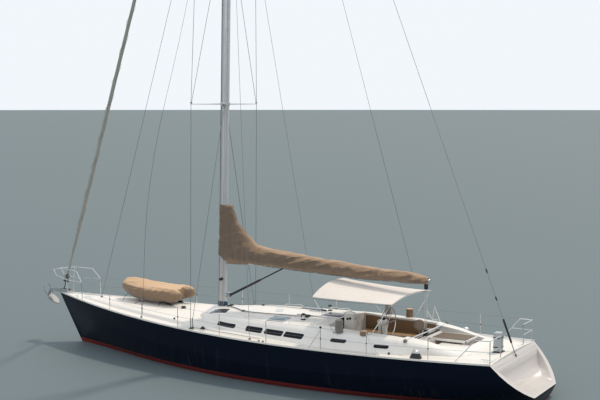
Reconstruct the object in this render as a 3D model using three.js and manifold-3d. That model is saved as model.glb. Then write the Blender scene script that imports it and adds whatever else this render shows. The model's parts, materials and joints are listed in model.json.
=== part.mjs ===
// Sailing yacht: a single-masted sloop with a fin keel, afloat, sails furled and covered.
// Millimetres. +X is forward, +Y is port, +Z is up; the origin is amidships on the waterline.
import * as THREE from 'three';
import { mergeVertices } from 'three/addons/utils/BufferGeometryUtils.js';
import Module from 'manifold-3d';

const wasm = await Module();
wasm.setup();

// Driving dimensions of the hull
const hullLength = 19800;
const bowX = hullLength / 2;
const deckAftX = -8834;
const maxHalfBeam = 2572;
const maxBeamPlace = 0.613;
const planLength = 19250;
const transomHalf = 1995;
const sheerBow = 1853;
const sheerMid = 1442.5;
const sheerAft = 1465;
const stemHalf = 22;
const joint = 0.3;

// Deck and superstructure
const railHeight = 52;
const railWidth = 48;
const deckEdgeRise = 12;
const camberRatio = 0.035;
const roofWall = 50;
const cabinWell = { aft: -2600, fore: 1200, half: 1350, sole: -250 };
const engineBay = { aft: -3900, fore: -2500, half: 450, floor: -520, top: 900 };
const cockpit = { fore: -2908, aft: -5700, half: 1380, sole: 1050, wallTop: 1600 };
const aftWell = { aft: -7450, half: 1150, sole: 1200, wallTop: 1500 };
const linerWall = 28;

// Rig
const mastFoot = { x: 2158, z: 2036 };
const mastRake = 0.02;
const mastTopZ = 27600;
const mastChord = 340;
const mastWidth = 190;
const boomPivot = { x: 1840, z: 3720 };
const vangDrop = 1300;
const boomEndX = -5970;

// Steering and propulsion
const wheelHub = { x: -4480, z: 2010 };
const wheelRadius = 560;
const rudderStock = { x: -7650, radius: 48 };
const shaftTilt = 0.2;
const propeller = { x: -5900, z: -850, radius: 300 };

const whiteGelcoat = new THREE.MeshStandardMaterial({ color: 0xf1efe9, roughness: 0.35, metalness: 0 });
const navyGelcoat = new THREE.MeshStandardMaterial({ color: 0x151c3a, roughness: 0.2, metalness: 0 });
const antifouling = new THREE.MeshStandardMaterial({ color: 0x8e2a22, roughness: 0.75, metalness: 0 });
const aluminium = new THREE.MeshStandardMaterial({ color: 0xc9ccce, roughness: 0.45, metalness: 0.8 });
const stainless = new THREE.MeshStandardMaterial({ color: 0xd6d8da, roughness: 0.25, metalness: 1 });
const rigging = new THREE.MeshStandardMaterial({ color: 0x8d9093, roughness: 0.4, metalness: 0.9 });
const bronze = new THREE.MeshStandardMaterial({ color: 0xa57c4e, roughness: 0.4, metalness: 0.9 });
const sailcloth = new THREE.MeshStandardMaterial({ color: 0xe8e4da, roughness: 0.85, metalness: 0 });
const coverCloth = new THREE.MeshStandardMaterial({ color: 0x94826c, roughness: 0.9, metalness: 0 });
const tanCloth = new THREE.MeshStandardMaterial({ color: 0xc59a6d, roughness: 0.9, metalness: 0 });
const whiteCloth = new THREE.MeshStandardMaterial({ color: 0xf4f2ea, roughness: 0.85, metalness: 0 });
const greyCloth = new THREE.MeshStandardMaterial({ color: 0x8a8784, roughness: 0.9, metalness: 0 });
const darkFitting = new THREE.MeshStandardMaterial({ color: 0x24262a, roughness: 0.4, metalness: 0.2 });
const smokedGlass = new THREE.MeshStandardMaterial({ color: 0x4d7390, roughness: 0.1, metalness: 0 });
const enginePaint = new THREE.MeshStandardMaterial({ color: 0x6d7276, roughness: 0.6, metalness: 0.3 });

const yacht = new THREE.Group();

function addTo(parent, name, geometry, material) {
  const mesh = new THREE.Mesh(geometry, material.clone());
  mesh.name = name;
  parent.add(mesh);
  return mesh;
}

function add(name, geometry, material) {
  return addTo(yacht, name, geometry, material);
}

// Solids: to the boolean library and back
function solid(geometry) {
  const bare = geometry.clone();
  bare.deleteAttribute('normal');
  bare.deleteAttribute('uv');
  const merged = geometry.userData.closed ? bare : mergeVertices(bare, 1e-3);
  return new wasm.Manifold(new wasm.Mesh({
    numProp: 3,
    vertProperties: new Float32Array(merged.attributes.position.array),
    triVerts: new Uint32Array(merged.index.array),
  }));
}

function geometryOf(manifold) {
  const mesh = manifold.getMesh();
  const geometry = new THREE.BufferGeometry();
  geometry.setAttribute('position', new THREE.BufferAttribute(mesh.vertProperties, 3));
  geometry.setIndex(new THREE.BufferAttribute(mesh.triVerts, 1));
  geometry.userData.closed = true;
  geometry.computeVertexNormals();
  return geometry;
}

function join(geometries) {
  return geometryOf(geometries.map(solid).reduce((whole, piece) => whole.add(piece)));
}

function cut(base, tools) {
  return geometryOf(tools.map(solid).reduce((whole, tool) => whole.subtract(tool), solid(base)));
}

function common(base, other) {
  return geometryOf(solid(base).intersect(solid(other)));
}

function box(x0, x1, y0, y1, z0, z1) {
  const size = [Math.abs(x1 - x0), Math.abs(y1 - y0), Math.abs(z1 - z0)];
  return new THREE.BoxGeometry(...size).translate((x0 + x1) / 2, (y0 + y1) / 2, (z0 + z1) / 2);
}

// A straight round bar between two points
function bar(from, to, radius, sides = 6) {
  const a = new THREE.Vector3(...from);
  const b = new THREE.Vector3(...to);
  const way = b.clone().sub(a);
  const geometry = new THREE.CylinderGeometry(radius, radius, way.length(), sides);
  const turn = new THREE.Quaternion().setFromUnitVectors(new THREE.Vector3(0, 1, 0), way.normalize());
  return geometry.applyQuaternion(turn).translate(...a.add(b).multiplyScalar(0.5).toArray());
}

// A bent round bar through a list of points, mitred at each bend
function rail(points, radius, sides = 6) {
  const places = points.map((point) => new THREE.Vector3(...point));
  const ways = places.slice(1).map((place, i) => place.clone().sub(places[i]).normalize());
  const up = Math.abs(ways[0].z) < 0.9 ? [0, 0, 1] : [1, 0, 0];
  const arm = new THREE.Vector3(...up).cross(ways[0]).setLength(radius);
  const rings = [Array.from({ length: sides }, (_, i) => (
    arm.clone().applyAxisAngle(ways[0], (2 * Math.PI * i) / sides).add(places[0])))];
  ways.forEach((way, i) => {
    const normal = way.clone().add(ways[i + 1] ?? way).normalize();
    rings.push(rings[i].map((point) => (
      point.clone().addScaledVector(way, places[i + 1].clone().sub(point).dot(normal) / way.dot(normal)))));
  });
  const last = ways.length * sides;
  const index = ways.flatMap((_, r) => rings[r].flatMap((__, i) => {
    const [a, b] = [r * sides + i, r * sides + ((i + 1) % sides)];
    return [a, b, b + sides, a, b + sides, a + sides];
  }));
  for (let i = 1; i < sides - 1; i += 1) {
    index.push(0, i + 1, i, last, last + i, last + i + 1);
  }
  const geometry = new THREE.BufferGeometry();
  geometry.setAttribute('position', new THREE.Float32BufferAttribute(
    rings.flat().flatMap((point) => point.toArray()), 3));
  geometry.setIndex(index);
  return facingOut(geometry);
}

function mirrored(geometry) {
  return facingOut(geometry.clone().scale(1, -1, 1));
}

// A closed skin through rings of points; every ring has the same count, in the same order.
// The second half splits its faces the other way, so that a mirrored ring gives a mirrored skin.
function loft(rings, capAxes = [1, 2]) {
  const count = rings[0].length;
  const positions = rings.flat(2);
  const index = [];
  for (let r = 0; r < rings.length - 1; r += 1) {
    for (let i = 0; i < count; i += 1) {
      const next = (i + 1) % count;
      const a = r * count + i;
      const b = r * count + next;
      const secondHalf = i >= (count - 1) / 2;
      index.push(...(secondHalf
        ? [a, b, a + count, b, b + count, a + count]
        : [a, b, b + count, a, b + count, a + count]));
    }
  }
  [0, rings.length - 1].forEach((r) => {
    const outline = rings[r].map((point) => new THREE.Vector2(point[capAxes[0]], point[capAxes[1]]));
    const faces = THREE.ShapeUtils.triangulateShape(outline, []);
    faces.forEach(([a, b, c]) => {
      const face = [r * count + a, r * count + b, r * count + c];
      const ccw = !THREE.ShapeUtils.isClockWise([outline[a], outline[b], outline[c]]);
      const ringCcw = !THREE.ShapeUtils.isClockWise(outline);
      const keep = (ccw === ringCcw) === (r !== 0);
      index.push(...(keep ? face : face.reverse()));
    });
  });
  const geometry = new THREE.BufferGeometry();
  geometry.setAttribute('position', new THREE.Float32BufferAttribute(positions, 3));
  geometry.setIndex(index);
  return facingOut(geometry);
}

// The cap plane of rings that lie level
const flat = [0, 1];

// Turns a closed mesh inside out when its volume comes out negative
function facingOut(geometry) {
  const position = geometry.attributes.position;
  const index = geometry.index.array;
  const [a, b, c] = [new THREE.Vector3(), new THREE.Vector3(), new THREE.Vector3()];
  let volume = 0;
  for (let i = 0; i < index.length; i += 3) {
    a.fromBufferAttribute(position, index[i]);
    b.fromBufferAttribute(position, index[i + 1]);
    c.fromBufferAttribute(position, index[i + 2]);
    volume += a.dot(b.cross(c));
  }
  if (volume < 0) {
    for (let i = 0; i < index.length; i += 3) {
      [index[i], index[i + 1]] = [index[i + 1], index[i]];
    }
  }
  geometry.computeVertexNormals();
  return geometry;
}

// A ring from the points of its port half, listed from the outer edge to the centreline
function mirroredRing(x, half) {
  const port = half.map(([y, z]) => [x, y, z]);
  const starboard = half.filter(([y]) => y > 1e-6).reverse().map(([y, z]) => [x, -y, z]);
  return [...port, ...starboard];
}

// Hull form
function sheerZ(x) {
  const t = (bowX - x) / (bowX - deckAftX);
  return sheerBow * (1 - t) * (1 - 2 * t) + 4 * sheerMid * t * (1 - t) + sheerAft * t * (2 * t - 1);
}

function halfBreadth(x) {
  const t = Math.max(0, (bowX - x) / planLength);
  const forward = 1 - (1 - t / maxBeamPlace) ** 2;
  const aft = 1 - (1 - transomHalf / maxHalfBeam) * ((t - maxBeamPlace) / (1 - maxBeamPlace)) ** 2;
  return Math.max(stemHalf, maxHalfBeam * (t < maxBeamPlace ? forward : aft));
}

// Stations: place at the deck, how far aft the keel end lies, keel height, depth and breadth fullness
const stationRows = [
  // x, lean, keel, depth, breadth
  [9885, 1075, 0, 1.5, 1.25],
  [9550, 1000, -150, 1.55, 1.2],
  [9000, 850, -300, 1.6, 1.2],
  [8100, 600, -430, 1.75, 1.25],
  [6900, 380, -540, 2.0, 1.4],
  [5300, 200, -640, 2.35, 1.6],
  [3500, 80, -715, 2.75, 1.85],
  [1600, 0, -755, 3.1, 2.05],
  [-300, 0, -760, 3.3, 2.2],
  [-2200, 0, -720, 3.3, 2.25],
  [-4000, 0, -620, 3.2, 2.25],
  [-5700, 0, -460, 3.0, 2.25],
  [-7300, 0, -260, 2.8, 2.25],
  [-8834, 0, -40, 2.3, 2.1],
  [-9900, 0, 120, 1.8, 1.9],
];

// Rows halfway between, on a smooth curve through their neighbours
function refined(rows) {
  const between = (k, column) => {
    const [p, q, r, s] = [k - 1, k, k + 1, k + 2].map((n) =>
      rows[Math.min(Math.max(n, 0), rows.length - 1)][column]);
    return k === 0 || k === rows.length - 2 ? (q + r) / 2 : (9 * (q + r) - p - s) / 16;
  };
  return rows.flatMap((row, k) => (
    k === rows.length - 1 ? [row] : [row, row.map((value, column) => between(k, column))]));
}

const stations = refined(stationRows);
const girthSteps = 9;

function hullRing([x, lean, keel, depth, breadth], inset = 0) {
  const top = sheerZ(x) + (inset > 0 ? 400 : 0);
  const bottom = keel + inset;
  const half = halfBreadth(x) - inset;
  const port = [];
  for (let step = 0; step <= girthSteps; step += 1) {
    const angle = (Math.PI / 2) * (1 - step / girthSteps);
    const z = top - (top - bottom) * Math.cos(angle) ** (2 / depth);
    const y = step === girthSteps ? 0 : half * Math.sin(angle) ** (2 / breadth);
    port.push([x - lean * ((top - z) / (top - bottom)), y, z]);
  }
  const starboard = port.slice(0, -1).reverse().map(([px, py, pz]) => [px, -py, pz]);
  return [...port, ...starboard];
}

const hullSkin = loft(stations.map((row) => hullRing(row)));

// Open stern: the transom slopes forward to the deck, and a stair well is let into it
const sternSlope = { topX: deckAftX, topZ: sheerAft + 2, footX: -9890, footZ: 400 };
const sternCut = new THREE.ExtrudeGeometry(new THREE.Shape([
  new THREE.Vector2(sternSlope.topX, sternSlope.topZ + 700),
  new THREE.Vector2(sternSlope.topX, sternSlope.topZ),
  new THREE.Vector2(sternSlope.footX, sternSlope.footZ),
  new THREE.Vector2(-10500, sternSlope.footZ - 20),
  new THREE.Vector2(-10500, sternSlope.topZ + 700),
]), { depth: 6000, bevelEnabled: false }).rotateX(Math.PI / 2).translate(0, 3000, 0);

// The stair well's side view, from the deck edge down the curved face to the platform
function sternWellSide(inset) {
  const side = [
    [-8950, 2400], [-8960, 1330], [-9010, 1050], [-9110, 790], [-9260, 590], [-9470, 480], [-9700, 455],
    [-10600, 450], [-10600, 2400],
  ];
  const shape = new THREE.Shape(side.map(([x, z]) => new THREE.Vector2(x - inset, z + inset)));
  return new THREE.ExtrudeGeometry(shape, { depth: 6000, bevelEnabled: false })
    .rotateX(Math.PI / 2).translate(0, 3000, 0);
}

const sternRows = refined(stationRows.slice(-3));
const innerStern = (inset) => loft(sternRows.map((row) => hullRing(row, inset)));
const rimWidth = 85;
const wellVoid = common(innerStern(rimWidth), sternWellSide(0));

// Deck: a cambered slab with a raised rail along its edge
function deckZ(x, y) {
  const inner = halfBreadth(x) - railWidth - 8;
  const camber = Math.max(0, inner) * camberRatio;
  return sheerZ(x) + joint + deckEdgeRise + camber * (1 - Math.min(1, (y / Math.max(inner, 1)) ** 2));
}

const deckStations = stations.map((row) => row[0]).filter((x) => x >= deckAftX - 0.01);

function deckRing(x, underside) {
  const half = halfBreadth(x);
  const wall = Math.min(railWidth, half * 0.6);
  const inner = half - wall - Math.min(8, half * 0.1);
  const crown = [0.66, 0.33, 0].map((part) => [inner * part, deckZ(x, inner * part)]);
  return mirroredRing(x, [
    [half, underside], [half, sheerZ(x) + railHeight], [half - wall, sheerZ(x) + railHeight],
    [inner, deckZ(x, inner)], ...crown,
  ]);
}

const deckSlab = loft(deckStations.map((x) => deckRing(x, sheerZ(x) + joint)));
const deckBlock = loft(deckStations.map((x) => deckRing(x, sheerZ(x) - 700))).translate(0, 0, joint);

// Raised foredeck: place, how far its edge stands in from the deck edge, height
const trunkRows = [
  // x, margin, rise
  [8550, 330, 12], [7900, 380, 70], [6500, 410, 95], [4800, 420, 100], [3000, 430, 100], [1900, 450, 75],
  [1250, 520, 12],
];

function trunkRing([x, margin, rise]) {
  const half = halfBreadth(x) - margin;
  const crown = [0.6, 0].map((part) => [half * part, deckZ(x, half * part) + rise]);
  return mirroredRing(x, [
    [half, sheerZ(x) + 6], [half, deckZ(x, half)], [half - 70, deckZ(x, half - 70) + rise], ...crown,
  ]);
}

// Coachroof and coaming sections: place, half-width at the deck and at the shoulder, shoulder and crown height
const roofRows = [
  // x, base, shoulder, edge, crown
  [3050, 300, 150, 1655, 1670],
  [2780, 700, 480, 1740, 1800],
  [2420, 1000, 760, 1850, 2030],
  [1900, 1270, 1050, 1900, 2030],
  [900, 1600, 1400, 1930, 2050],
  [-900, 1830, 1620, 1945, 2065],
  [-2900, 2100, 1870, 1950, 2060],
];
const coamingRows = [
  [-2900 - joint, 2100, 1870, 1950, 2060],
  [-3250, 2125, 1900, 1950, 2030],
  [-3650, 2130, 1910, 1945, 1965],
  [-4800, 2040, 1830, 1930, 1935],
  [-5700, 1930, 1720, 1890, 1892],
  [-6500, 1740, 1560, 1790, 1792],
  [-7300, 1560, 1440, 1620, 1622],
  [-7800, 1450, 1370, 1525, 1527],
];

// The shoulder is an arc from the sloping side onto the crowned top
const shoulderDrop = 110;
const shoulderSteps = [0, 0.35, 0.7];

function roofRing([x, base, shoulder, edge, crown], inset = 0) {
  const rise = crown - edge;
  const corner = [shoulder - inset, edge - inset];
  const side = [base - inset, sheerZ(x) + 20];
  const lower = Math.min(0.6, shoulderDrop / (corner[1] - side[1]));
  const arcStart = corner.map((value, i) => value + (side[i] - value) * lower);
  const arcEnd = [corner[0] * 0.92, corner[1] + rise * (1 - 0.92 ** 2)];
  const arc = shoulderSteps.map((t) => corner.map((value, i) => (
    arcStart[i] * (1 - t) ** 2 + value * 2 * t * (1 - t) + arcEnd[i] * t ** 2)));
  const top = [0.92, 0.66, 0.33, 0].map((part) => [
    (shoulder - inset) * part, edge - inset + rise * (1 - part ** 2)]);
  const foot = sheerZ(x) - 160;
  return mirroredRing(x, [
    [side[0], foot], side, ...arc, ...top,
  ]);
}

const roofOuter = loft(roofRows.map((row) => roofRing(row)));
const roofInnerRows = roofRows.slice(2).map((row, i, rows) => (
  i === rows.length - 1 ? [row[0] + roofWall, ...row.slice(1)] : [row[0] - roofWall, ...row.slice(1)]));
const roofInner = loft(roofInnerRows.map((row) => roofRing(row, roofWall)));
const companionway = box(-3000, -2020, -335, 335, 1320, 2300);
const cockpitVoid = box(cockpit.fore, cockpit.aft, -cockpit.half, cockpit.half, 1020 - joint, 3000);
const aftWellVoid = box(cockpit.aft + 1, aftWell.aft, -aftWell.half, aftWell.half, 1170 - joint, 3000);
const cockpitGap = cockpit.fore - 0.5;

add('hull', cut(hullSkin, [
  sternCut, wellVoid, cockpitVoid, aftWellVoid,
  box(cabinWell.aft, cabinWell.fore, -cabinWell.half, cabinWell.half, cabinWell.sole, 3000),
  box(engineBay.aft, engineBay.fore, -engineBay.half, engineBay.half, engineBay.floor, engineBay.top),
  bar([rudderStock.x, 0, -800], [rudderStock.x, 0, 700], rudderStock.radius + 6, 20),
  shaftBar(31, 1000, 2500),
]), navyGelcoat);

add('deck', cut(join([deckSlab, loft(trunkRows.map(trunkRing))]), [roofInner, cockpitVoid, aftWellVoid]),
  whiteGelcoat);

const trunkBlock = loft(trunkRows.map(trunkRing)).translate(0, 0, joint);
add('coachroof', cut(roofOuter, [roofInner, companionway, deckBlock, trunkBlock]), whiteGelcoat);
add('cockpit_coaming', cut(loft(coamingRows.map((row) => roofRing(row))), [
  box(cockpitGap + 30, cockpit.aft - 1, -cockpit.half, cockpit.half, 0, 3000),
  box(cockpit.aft + 1, aftWell.aft, -aftWell.half, aftWell.half, 0, 3000), deckBlock,
]), whiteGelcoat);

const coamingBlock = loft(coamingRows.map((row) => roofRing(row))).translate(0, 0, joint);
const roofBlock = roofOuter.clone().translate(0, 0, joint);

// Stern liner: the moulded stair and platform inside the hull's rim
add('stern_platform', cut(common(common(innerStern(rimWidth + joint), sternWellSide(joint)),
  sternClip()), [common(innerStern(rimWidth + linerWall), sternWellSide(linerWall))]), whiteGelcoat);

// What lies below the sloping stern line, moved in so that the liner ends flush with the hull
function sternClip() {
  const shape = new THREE.Shape([
    new THREE.Vector2(-8700, sternSlope.topZ + 134), new THREE.Vector2(sternSlope.footX, sternSlope.footZ),
    new THREE.Vector2(sternSlope.footX, -500), new THREE.Vector2(-8700, -500),
  ]);
  return new THREE.ExtrudeGeometry(shape, { depth: 6000, bevelEnabled: false })
    .rotateX(Math.PI / 2).translate(0, 3000, 0);
}

// Cockpit liner: sole, sides, two benches, the traveller bridge and the aft well
const slack = 0.4;
const tubHalf = cockpit.half - slack;
const aftHalf = aftWell.half - slack;
const bench = { fore: -3040, aft: -5350, inner: 760, top: 1450 };
const bridge = { aft: -5960, top: 1700 };
const tubSolids = [
  box(cockpit.fore - slack, cockpit.aft, -tubHalf, tubHalf, 1020, cockpit.sole),
  box(cockpit.fore - slack, cockpit.fore - linerWall, -tubHalf, tubHalf, 1020, 1290),
  box(cockpit.aft + linerWall, cockpit.aft + slack, -tubHalf, tubHalf, 1020, cockpit.wallTop),
  box(cockpit.aft + 10, bridge.aft, -aftHalf, aftHalf, 1170, bridge.top),
  box(cockpit.aft, aftWell.aft + slack, -aftHalf, aftHalf, 1170, aftWell.sole),
  box(aftWell.aft + linerWall, aftWell.aft + slack, -aftHalf, aftHalf, 1170, aftWell.wallTop),
];
[-1, 1].forEach((side) => {
  tubSolids.push(
    box(cockpit.fore - slack, cockpit.aft + slack, side * tubHalf, side * (tubHalf - linerWall), 1020, 1600),
    box(bench.fore, bench.aft, side * bench.inner, side * (tubHalf - 5), 1030, bench.top),
    box(cockpit.aft, aftWell.aft + slack, side * aftHalf, side * (aftHalf - linerWall), 1170, 1500),
  );
});
add('cockpit_liner', join(tubSolids), whiteGelcoat);

// Engine, one plain block on the shaft line
add('engine', box(-3550, -2620, -320, 320, -440, 380), enginePaint);

// Keel: fin, bulb and rudder
function foilRing(x, chord, thickness, z) {
  const ring = [];
  const steps = 8;
  for (let i = 0; i < 2 * steps; i += 1) {
    const angle = (Math.PI * i) / steps;
    const along = (1 - Math.cos(angle)) / 2;
    const half = thickness * 1.3 * Math.sqrt(along + 1e-9) * (1 - along) + 4 * along;
    ring.push([x - chord * along, i <= steps ? half : -half, z]);
  }
  return ring;
}

const keelRows = [
  // leading edge, chord, thickness, height
  [1000, 2700, 330, -600],
  [850, 2350, 300, -1000],
  [450, 1750, 240, -2600],
  [400, 1650, 220, -2760],
];
const bulbProfile = [
  // along, radius
  [0, 0], [90, 120], [350, 245], [800, 320], [1400, 300], [2200, 170], [2900, 40], [3000, 0],
];
const bulb = new THREE.LatheGeometry(bulbProfile.map(([along, r]) => new THREE.Vector2(r, along)), 16)
  .rotateZ(Math.PI / 2).scale(1, 1, 0.85).translate(1150, 0, -2730);
const lowered = (geometry) => geometry.clone().translate(0, 0, -joint);
add('keel', cut(join([loft(keelRows.map((row) => foilRing(...row)), flat), bulb]), [lowered(hullSkin)]), antifouling);

const rudderRows = [
  [-7400, 900, 130, -290],
  [-7430, 820, 120, -1100],
  [-7470, 620, 90, -2200],
  [-7500, 540, 60, -2330],
];
add('rudder', join([
  loft(rudderRows.map((row) => foilRing(...row)), flat),
  bar([rudderStock.x, 0, -700], [rudderStock.x, 0, 600], rudderStock.radius, 16),
]), antifouling);

// The propeller shaft's line, as a bar with its ends measured forward from the propeller
function shaftBar(radius, from, to, sides = 16) {
  const place = (along) => [
    propeller.x + along * Math.cos(shaftTilt), 0, propeller.z + along * Math.sin(shaftTilt)];
  return bar(place(from), place(to), radius, sides);
}

function bladeGeometry(turn) {
  const outline = new THREE.Shape();
  outline.moveTo(-45, 20);
  outline.quadraticCurveTo(-150, 190, -40, propeller.radius);
  outline.quadraticCurveTo(60, propeller.radius + 10, 95, 200);
  outline.quadraticCurveTo(110, 90, 45, 20);
  const blade = new THREE.ExtrudeGeometry(outline, { depth: 14, bevelEnabled: false, curveSegments: 4 });
  return blade.translate(0, 0, -7).rotateY(Math.PI / 2 - 0.45).rotateX(turn);
}

const propellerHub = new THREE.LatheGeometry([
  [0, -130], [30, -120], [52, -60], [58, 20], [50, 90], [0, 92],
].map(([r, along]) => new THREE.Vector2(r, along)), 16).rotateZ(-Math.PI / 2);
const propellerTurned = join([
  propellerHub, ...[0, 1, 2].map((blade) => bladeGeometry((blade * 2 * Math.PI) / 3)),
]).rotateY(-shaftTilt).translate(propeller.x, 0, propeller.z);
add('propeller', join([propellerTurned, shaftBar(22, 40, 2330, 12)]), bronze);

// Strut: a bearing ring round the shaft, forward of the propeller, on a leg from the hull
const strutX = propeller.x + 210;
const strutZ = propeller.z + 210 * Math.tan(shaftTilt);
const strutLeg = loft([[strutZ, 130, 40], [-200, 190, 60]].map(([z, chord, thick]) =>
  foilRing(strutX + chord / 2, chord, thick, z)), flat);
add('shaft_strut', cut(join([strutLeg, shaftBar(44, 150, 270)]), [
  shaftBar(27, 0, 500), lowered(hullSkin),
]), bronze);

// Mast: an oval tube on the coachroof, raked aft, with three pairs of spreaders
const mastHeight = mastTopZ - mastFoot.z;
const rig = new THREE.Group();
rig.position.set(mastFoot.x, 0, mastFoot.z);
rig.rotation.y = -mastRake;
yacht.add(rig);

function mastRing(height, scale, grow = 0, sides = 16) {
  return Array.from({ length: sides }, (_, i) => {
    const angle = (2 * Math.PI * i) / sides;
    return [
      (mastChord / 2) * scale * Math.cos(angle) + grow * Math.cos(angle),
      (mastWidth / 2) * scale * Math.sin(angle) + grow * Math.sin(angle), height];
  });
}

function mastScale(height) {
  const start = 0.72 * mastHeight;
  return height < start ? 1 : 1 - 0.4 * ((height - start) / (mastHeight - start));
}

const mastCuts = [0, 0.36, 0.72, 0.86, 1].map((part) => part * mastHeight);
const mastBody = loft(mastCuts.map((height) => mastRing(height, mastScale(height))), flat);
const masthead = box(-620, 210, -42, 42, mastHeight - 160, mastHeight + 40);
addTo(rig, 'mast', join([mastBody, masthead]), aluminium);

const spreaderRows = [
  // height above the waterline, reach from the centreline
  { level: 1, z: 9300, reach: 2085 },
  { level: 2, z: 16100, reach: 1815 },
  { level: 3, z: 22000, reach: 1385 },
];
spreaderRows.forEach(({ level, z, reach }) => {
  const height = z - mastFoot.z;
  const scale = mastScale(height);
  const collar = loft([-60, 60].map((offset) => mastRing(height + offset, scale, 22)), flat);
  const bore = loft([-80, 80].map((offset) => mastRing(height + offset, mastScale(height - 80), joint)), flat);
  const arms = [-1, 1].map((side) => loft([
    [40, 210, 46], [reach * 0.5, 150, 36], [reach, 90, 26],
  ].map(([y, chord, thick]) => Array.from({ length: 10 }, (_, i) => {
    const angle = (2 * Math.PI * i) / 10;
    return [(chord / 2) * Math.cos(angle), side * y, height + (thick / 2) * Math.sin(angle)];
  })), [0, 2]));
  addTo(rig, `spreaders_${level}`, cut(join([collar, ...arms]), [bore]), aluminium);
});

// A place on the mast's centreline, at a height above the waterline, moved fore and aft or out
function onMast(z, ahead = 0, out = 0) {
  return [mastFoot.x - Math.tan(mastRake) * (z - mastFoot.z) + ahead, out, z];
}

// Standing rigging
const wire = 8;
const chainplate = { x: 2090, y: 2118, inner: 2000 };
const tips = spreaderRows.map(({ z, reach }) => [onMast(z)[0], reach + wire + 5, z]);
const deckAt = (x, y) => deckZ(x, y) + joint + 0.4;

function shroudSet(side) {
  const foot = deckAt(chainplate.x, chainplate.inner) + 6;
  const at = ([x, y, z], inboard = 0, above = 0) => [x, side * (y - inboard), z + above];
  const mastSide = (z) => at(onMast(z, 0, (mastWidth / 2) * mastScale(z - mastFoot.z) + 16));
  const outer = [chainplate.x, chainplate.y, foot];
  const inner = [chainplate.x, chainplate.inner, foot];
  const tipClamps = tips.slice(0, 2).map(([x, y, z]) => (
    box(x - 20, x + 20, side * (y - 45), side * (y + 14), z + 20, z + 60)));
  return join([
    box(chainplate.x - 45, chainplate.x + 45, side * (chainplate.inner - 30), side * (chainplate.y + 30),
      foot, foot + 60),
    bar(at(outer, 0, 20), at(outer, 0, 380), 17),
    bar(at(inner, 0, 20), at(inner, 0, 380), 17),
    rail([at(outer, 0, 300), ...tips.map((tip) => at(tip)), mastSide(26900)], wire),
    bar(at(inner, 0, 300), mastSide(9050), wire),
    ...tipClamps,
    bar(at(tips[0], 28, 40), mastSide(15850), wire),
    bar(at(tips[1], 28, 40), mastSide(21750), wire),
  ]);
}

add('shrouds_port', shroudSet(1), rigging);
add('shrouds_starboard', shroudSet(-1), rigging);

// Running backstays, made fast at the side decks
const runnerFoot = [-450, 2300];
const runnerFootZ = deckAt(...runnerFoot) + 4;
const portRunner = join([
  bar([...runnerFoot, runnerFootZ], [...runnerFoot, runnerFootZ + 40], 40, 12),
  bar([...runnerFoot, runnerFootZ + 20], onMast(20000, -60, 100), 6),
]);
add('runner_port', portRunner, rigging);
add('runner_starboard', mirrored(portRunner), rigging);

// Forestay with the furled genoa round it, its drum, the inner forestay and the backstay
const stayFoot = [9740, 0, 1902];
const stayTop = onMast(25840, mastChord * 0.42);
const stayWay = new THREE.Vector3(...stayTop).sub(new THREE.Vector3(...stayFoot));
const stayLength = stayWay.length();
const stayPlace = (along) => new THREE.Vector3(...stayFoot)
  .add(stayWay.clone().multiplyScalar(along / stayLength)).toArray();

function onStay(profile, sides) {
  const turn = new THREE.Quaternion()
    .setFromUnitVectors(new THREE.Vector3(0, 1, 0), stayWay.clone().normalize());
  return new THREE.LatheGeometry(profile.map(([r, along]) => new THREE.Vector2(r, along)), sides)
    .applyQuaternion(turn).translate(...stayFoot);
}

add('furled_genoa', onStay([
  // radius, along the stay
  [0, 760], [30, 770], [42, 1500], [78, 3300], [92, 7000], [80, 14000], [52, 21000], [24, 23600],
  [14, 23700], [14, stayLength - 160], [0, stayLength - 160],
], 14), sailcloth);
add('furler_drum', onStay([
  [0, 0], [16, 0], [16, 420], [40, 430], [110, 440], [110, 465], [60, 480], [60, 640], [110, 655],
  [110, 680], [40, 700], [30, 750], [0, 750],
], 20), darkFitting);

const innerFoot = [7800, 0];
add('inner_forestay', join([
  bar([...innerFoot, deckAt(...innerFoot) + 80], [...innerFoot, deckAt(...innerFoot) + 118], 45, 12),
  bar([...innerFoot, deckAt(...innerFoot) + 90], onMast(20800, mastChord / 2 + 8), 7),
]), rigging);

const backstayTop = onMast(mastTopZ - 190, -560);
const backstayFoot = [-8925, 0, 1378];
const backstayAt = (part) => backstayFoot.map((value, i) => value + (backstayTop[i] - value) * part);
add('backstay', cut(join([
  bar([backstayFoot[0], 0, backstayFoot[2] - 40], [backstayFoot[0], 0, backstayFoot[2] + 70], 24, 12),
  bar(backstayAt(0.001), backstayAt(0.02), 15, 10),
  bar(backstayAt(0.016), backstayAt(0.044), 34, 12),
  bar(backstayAt(0.04), backstayAt(0.995), 7),
]), [sternClip().translate(0, 0, 2)]), rigging);

// Boom, vang and sail cover; the boom group's origin is on its vertical hinge axis
const boomGroup = new THREE.Group();
boomGroup.position.set(boomPivot.x, 0, boomPivot.z);
yacht.add(boomGroup);

function ovalRing(x, halfWidth, bottom, top, sides = 12) {
  const [middle, half] = [(bottom + top) / 2, (top - bottom) / 2];
  return Array.from({ length: sides }, (_, i) => {
    const angle = (2 * Math.PI * (i + 0.5)) / sides;
    const squareness = (value) => Math.sign(value) * Math.abs(value) ** 0.8;
    return [x, halfWidth * squareness(Math.cos(angle)), middle + half * squareness(Math.sin(angle))];
  });
}

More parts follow.
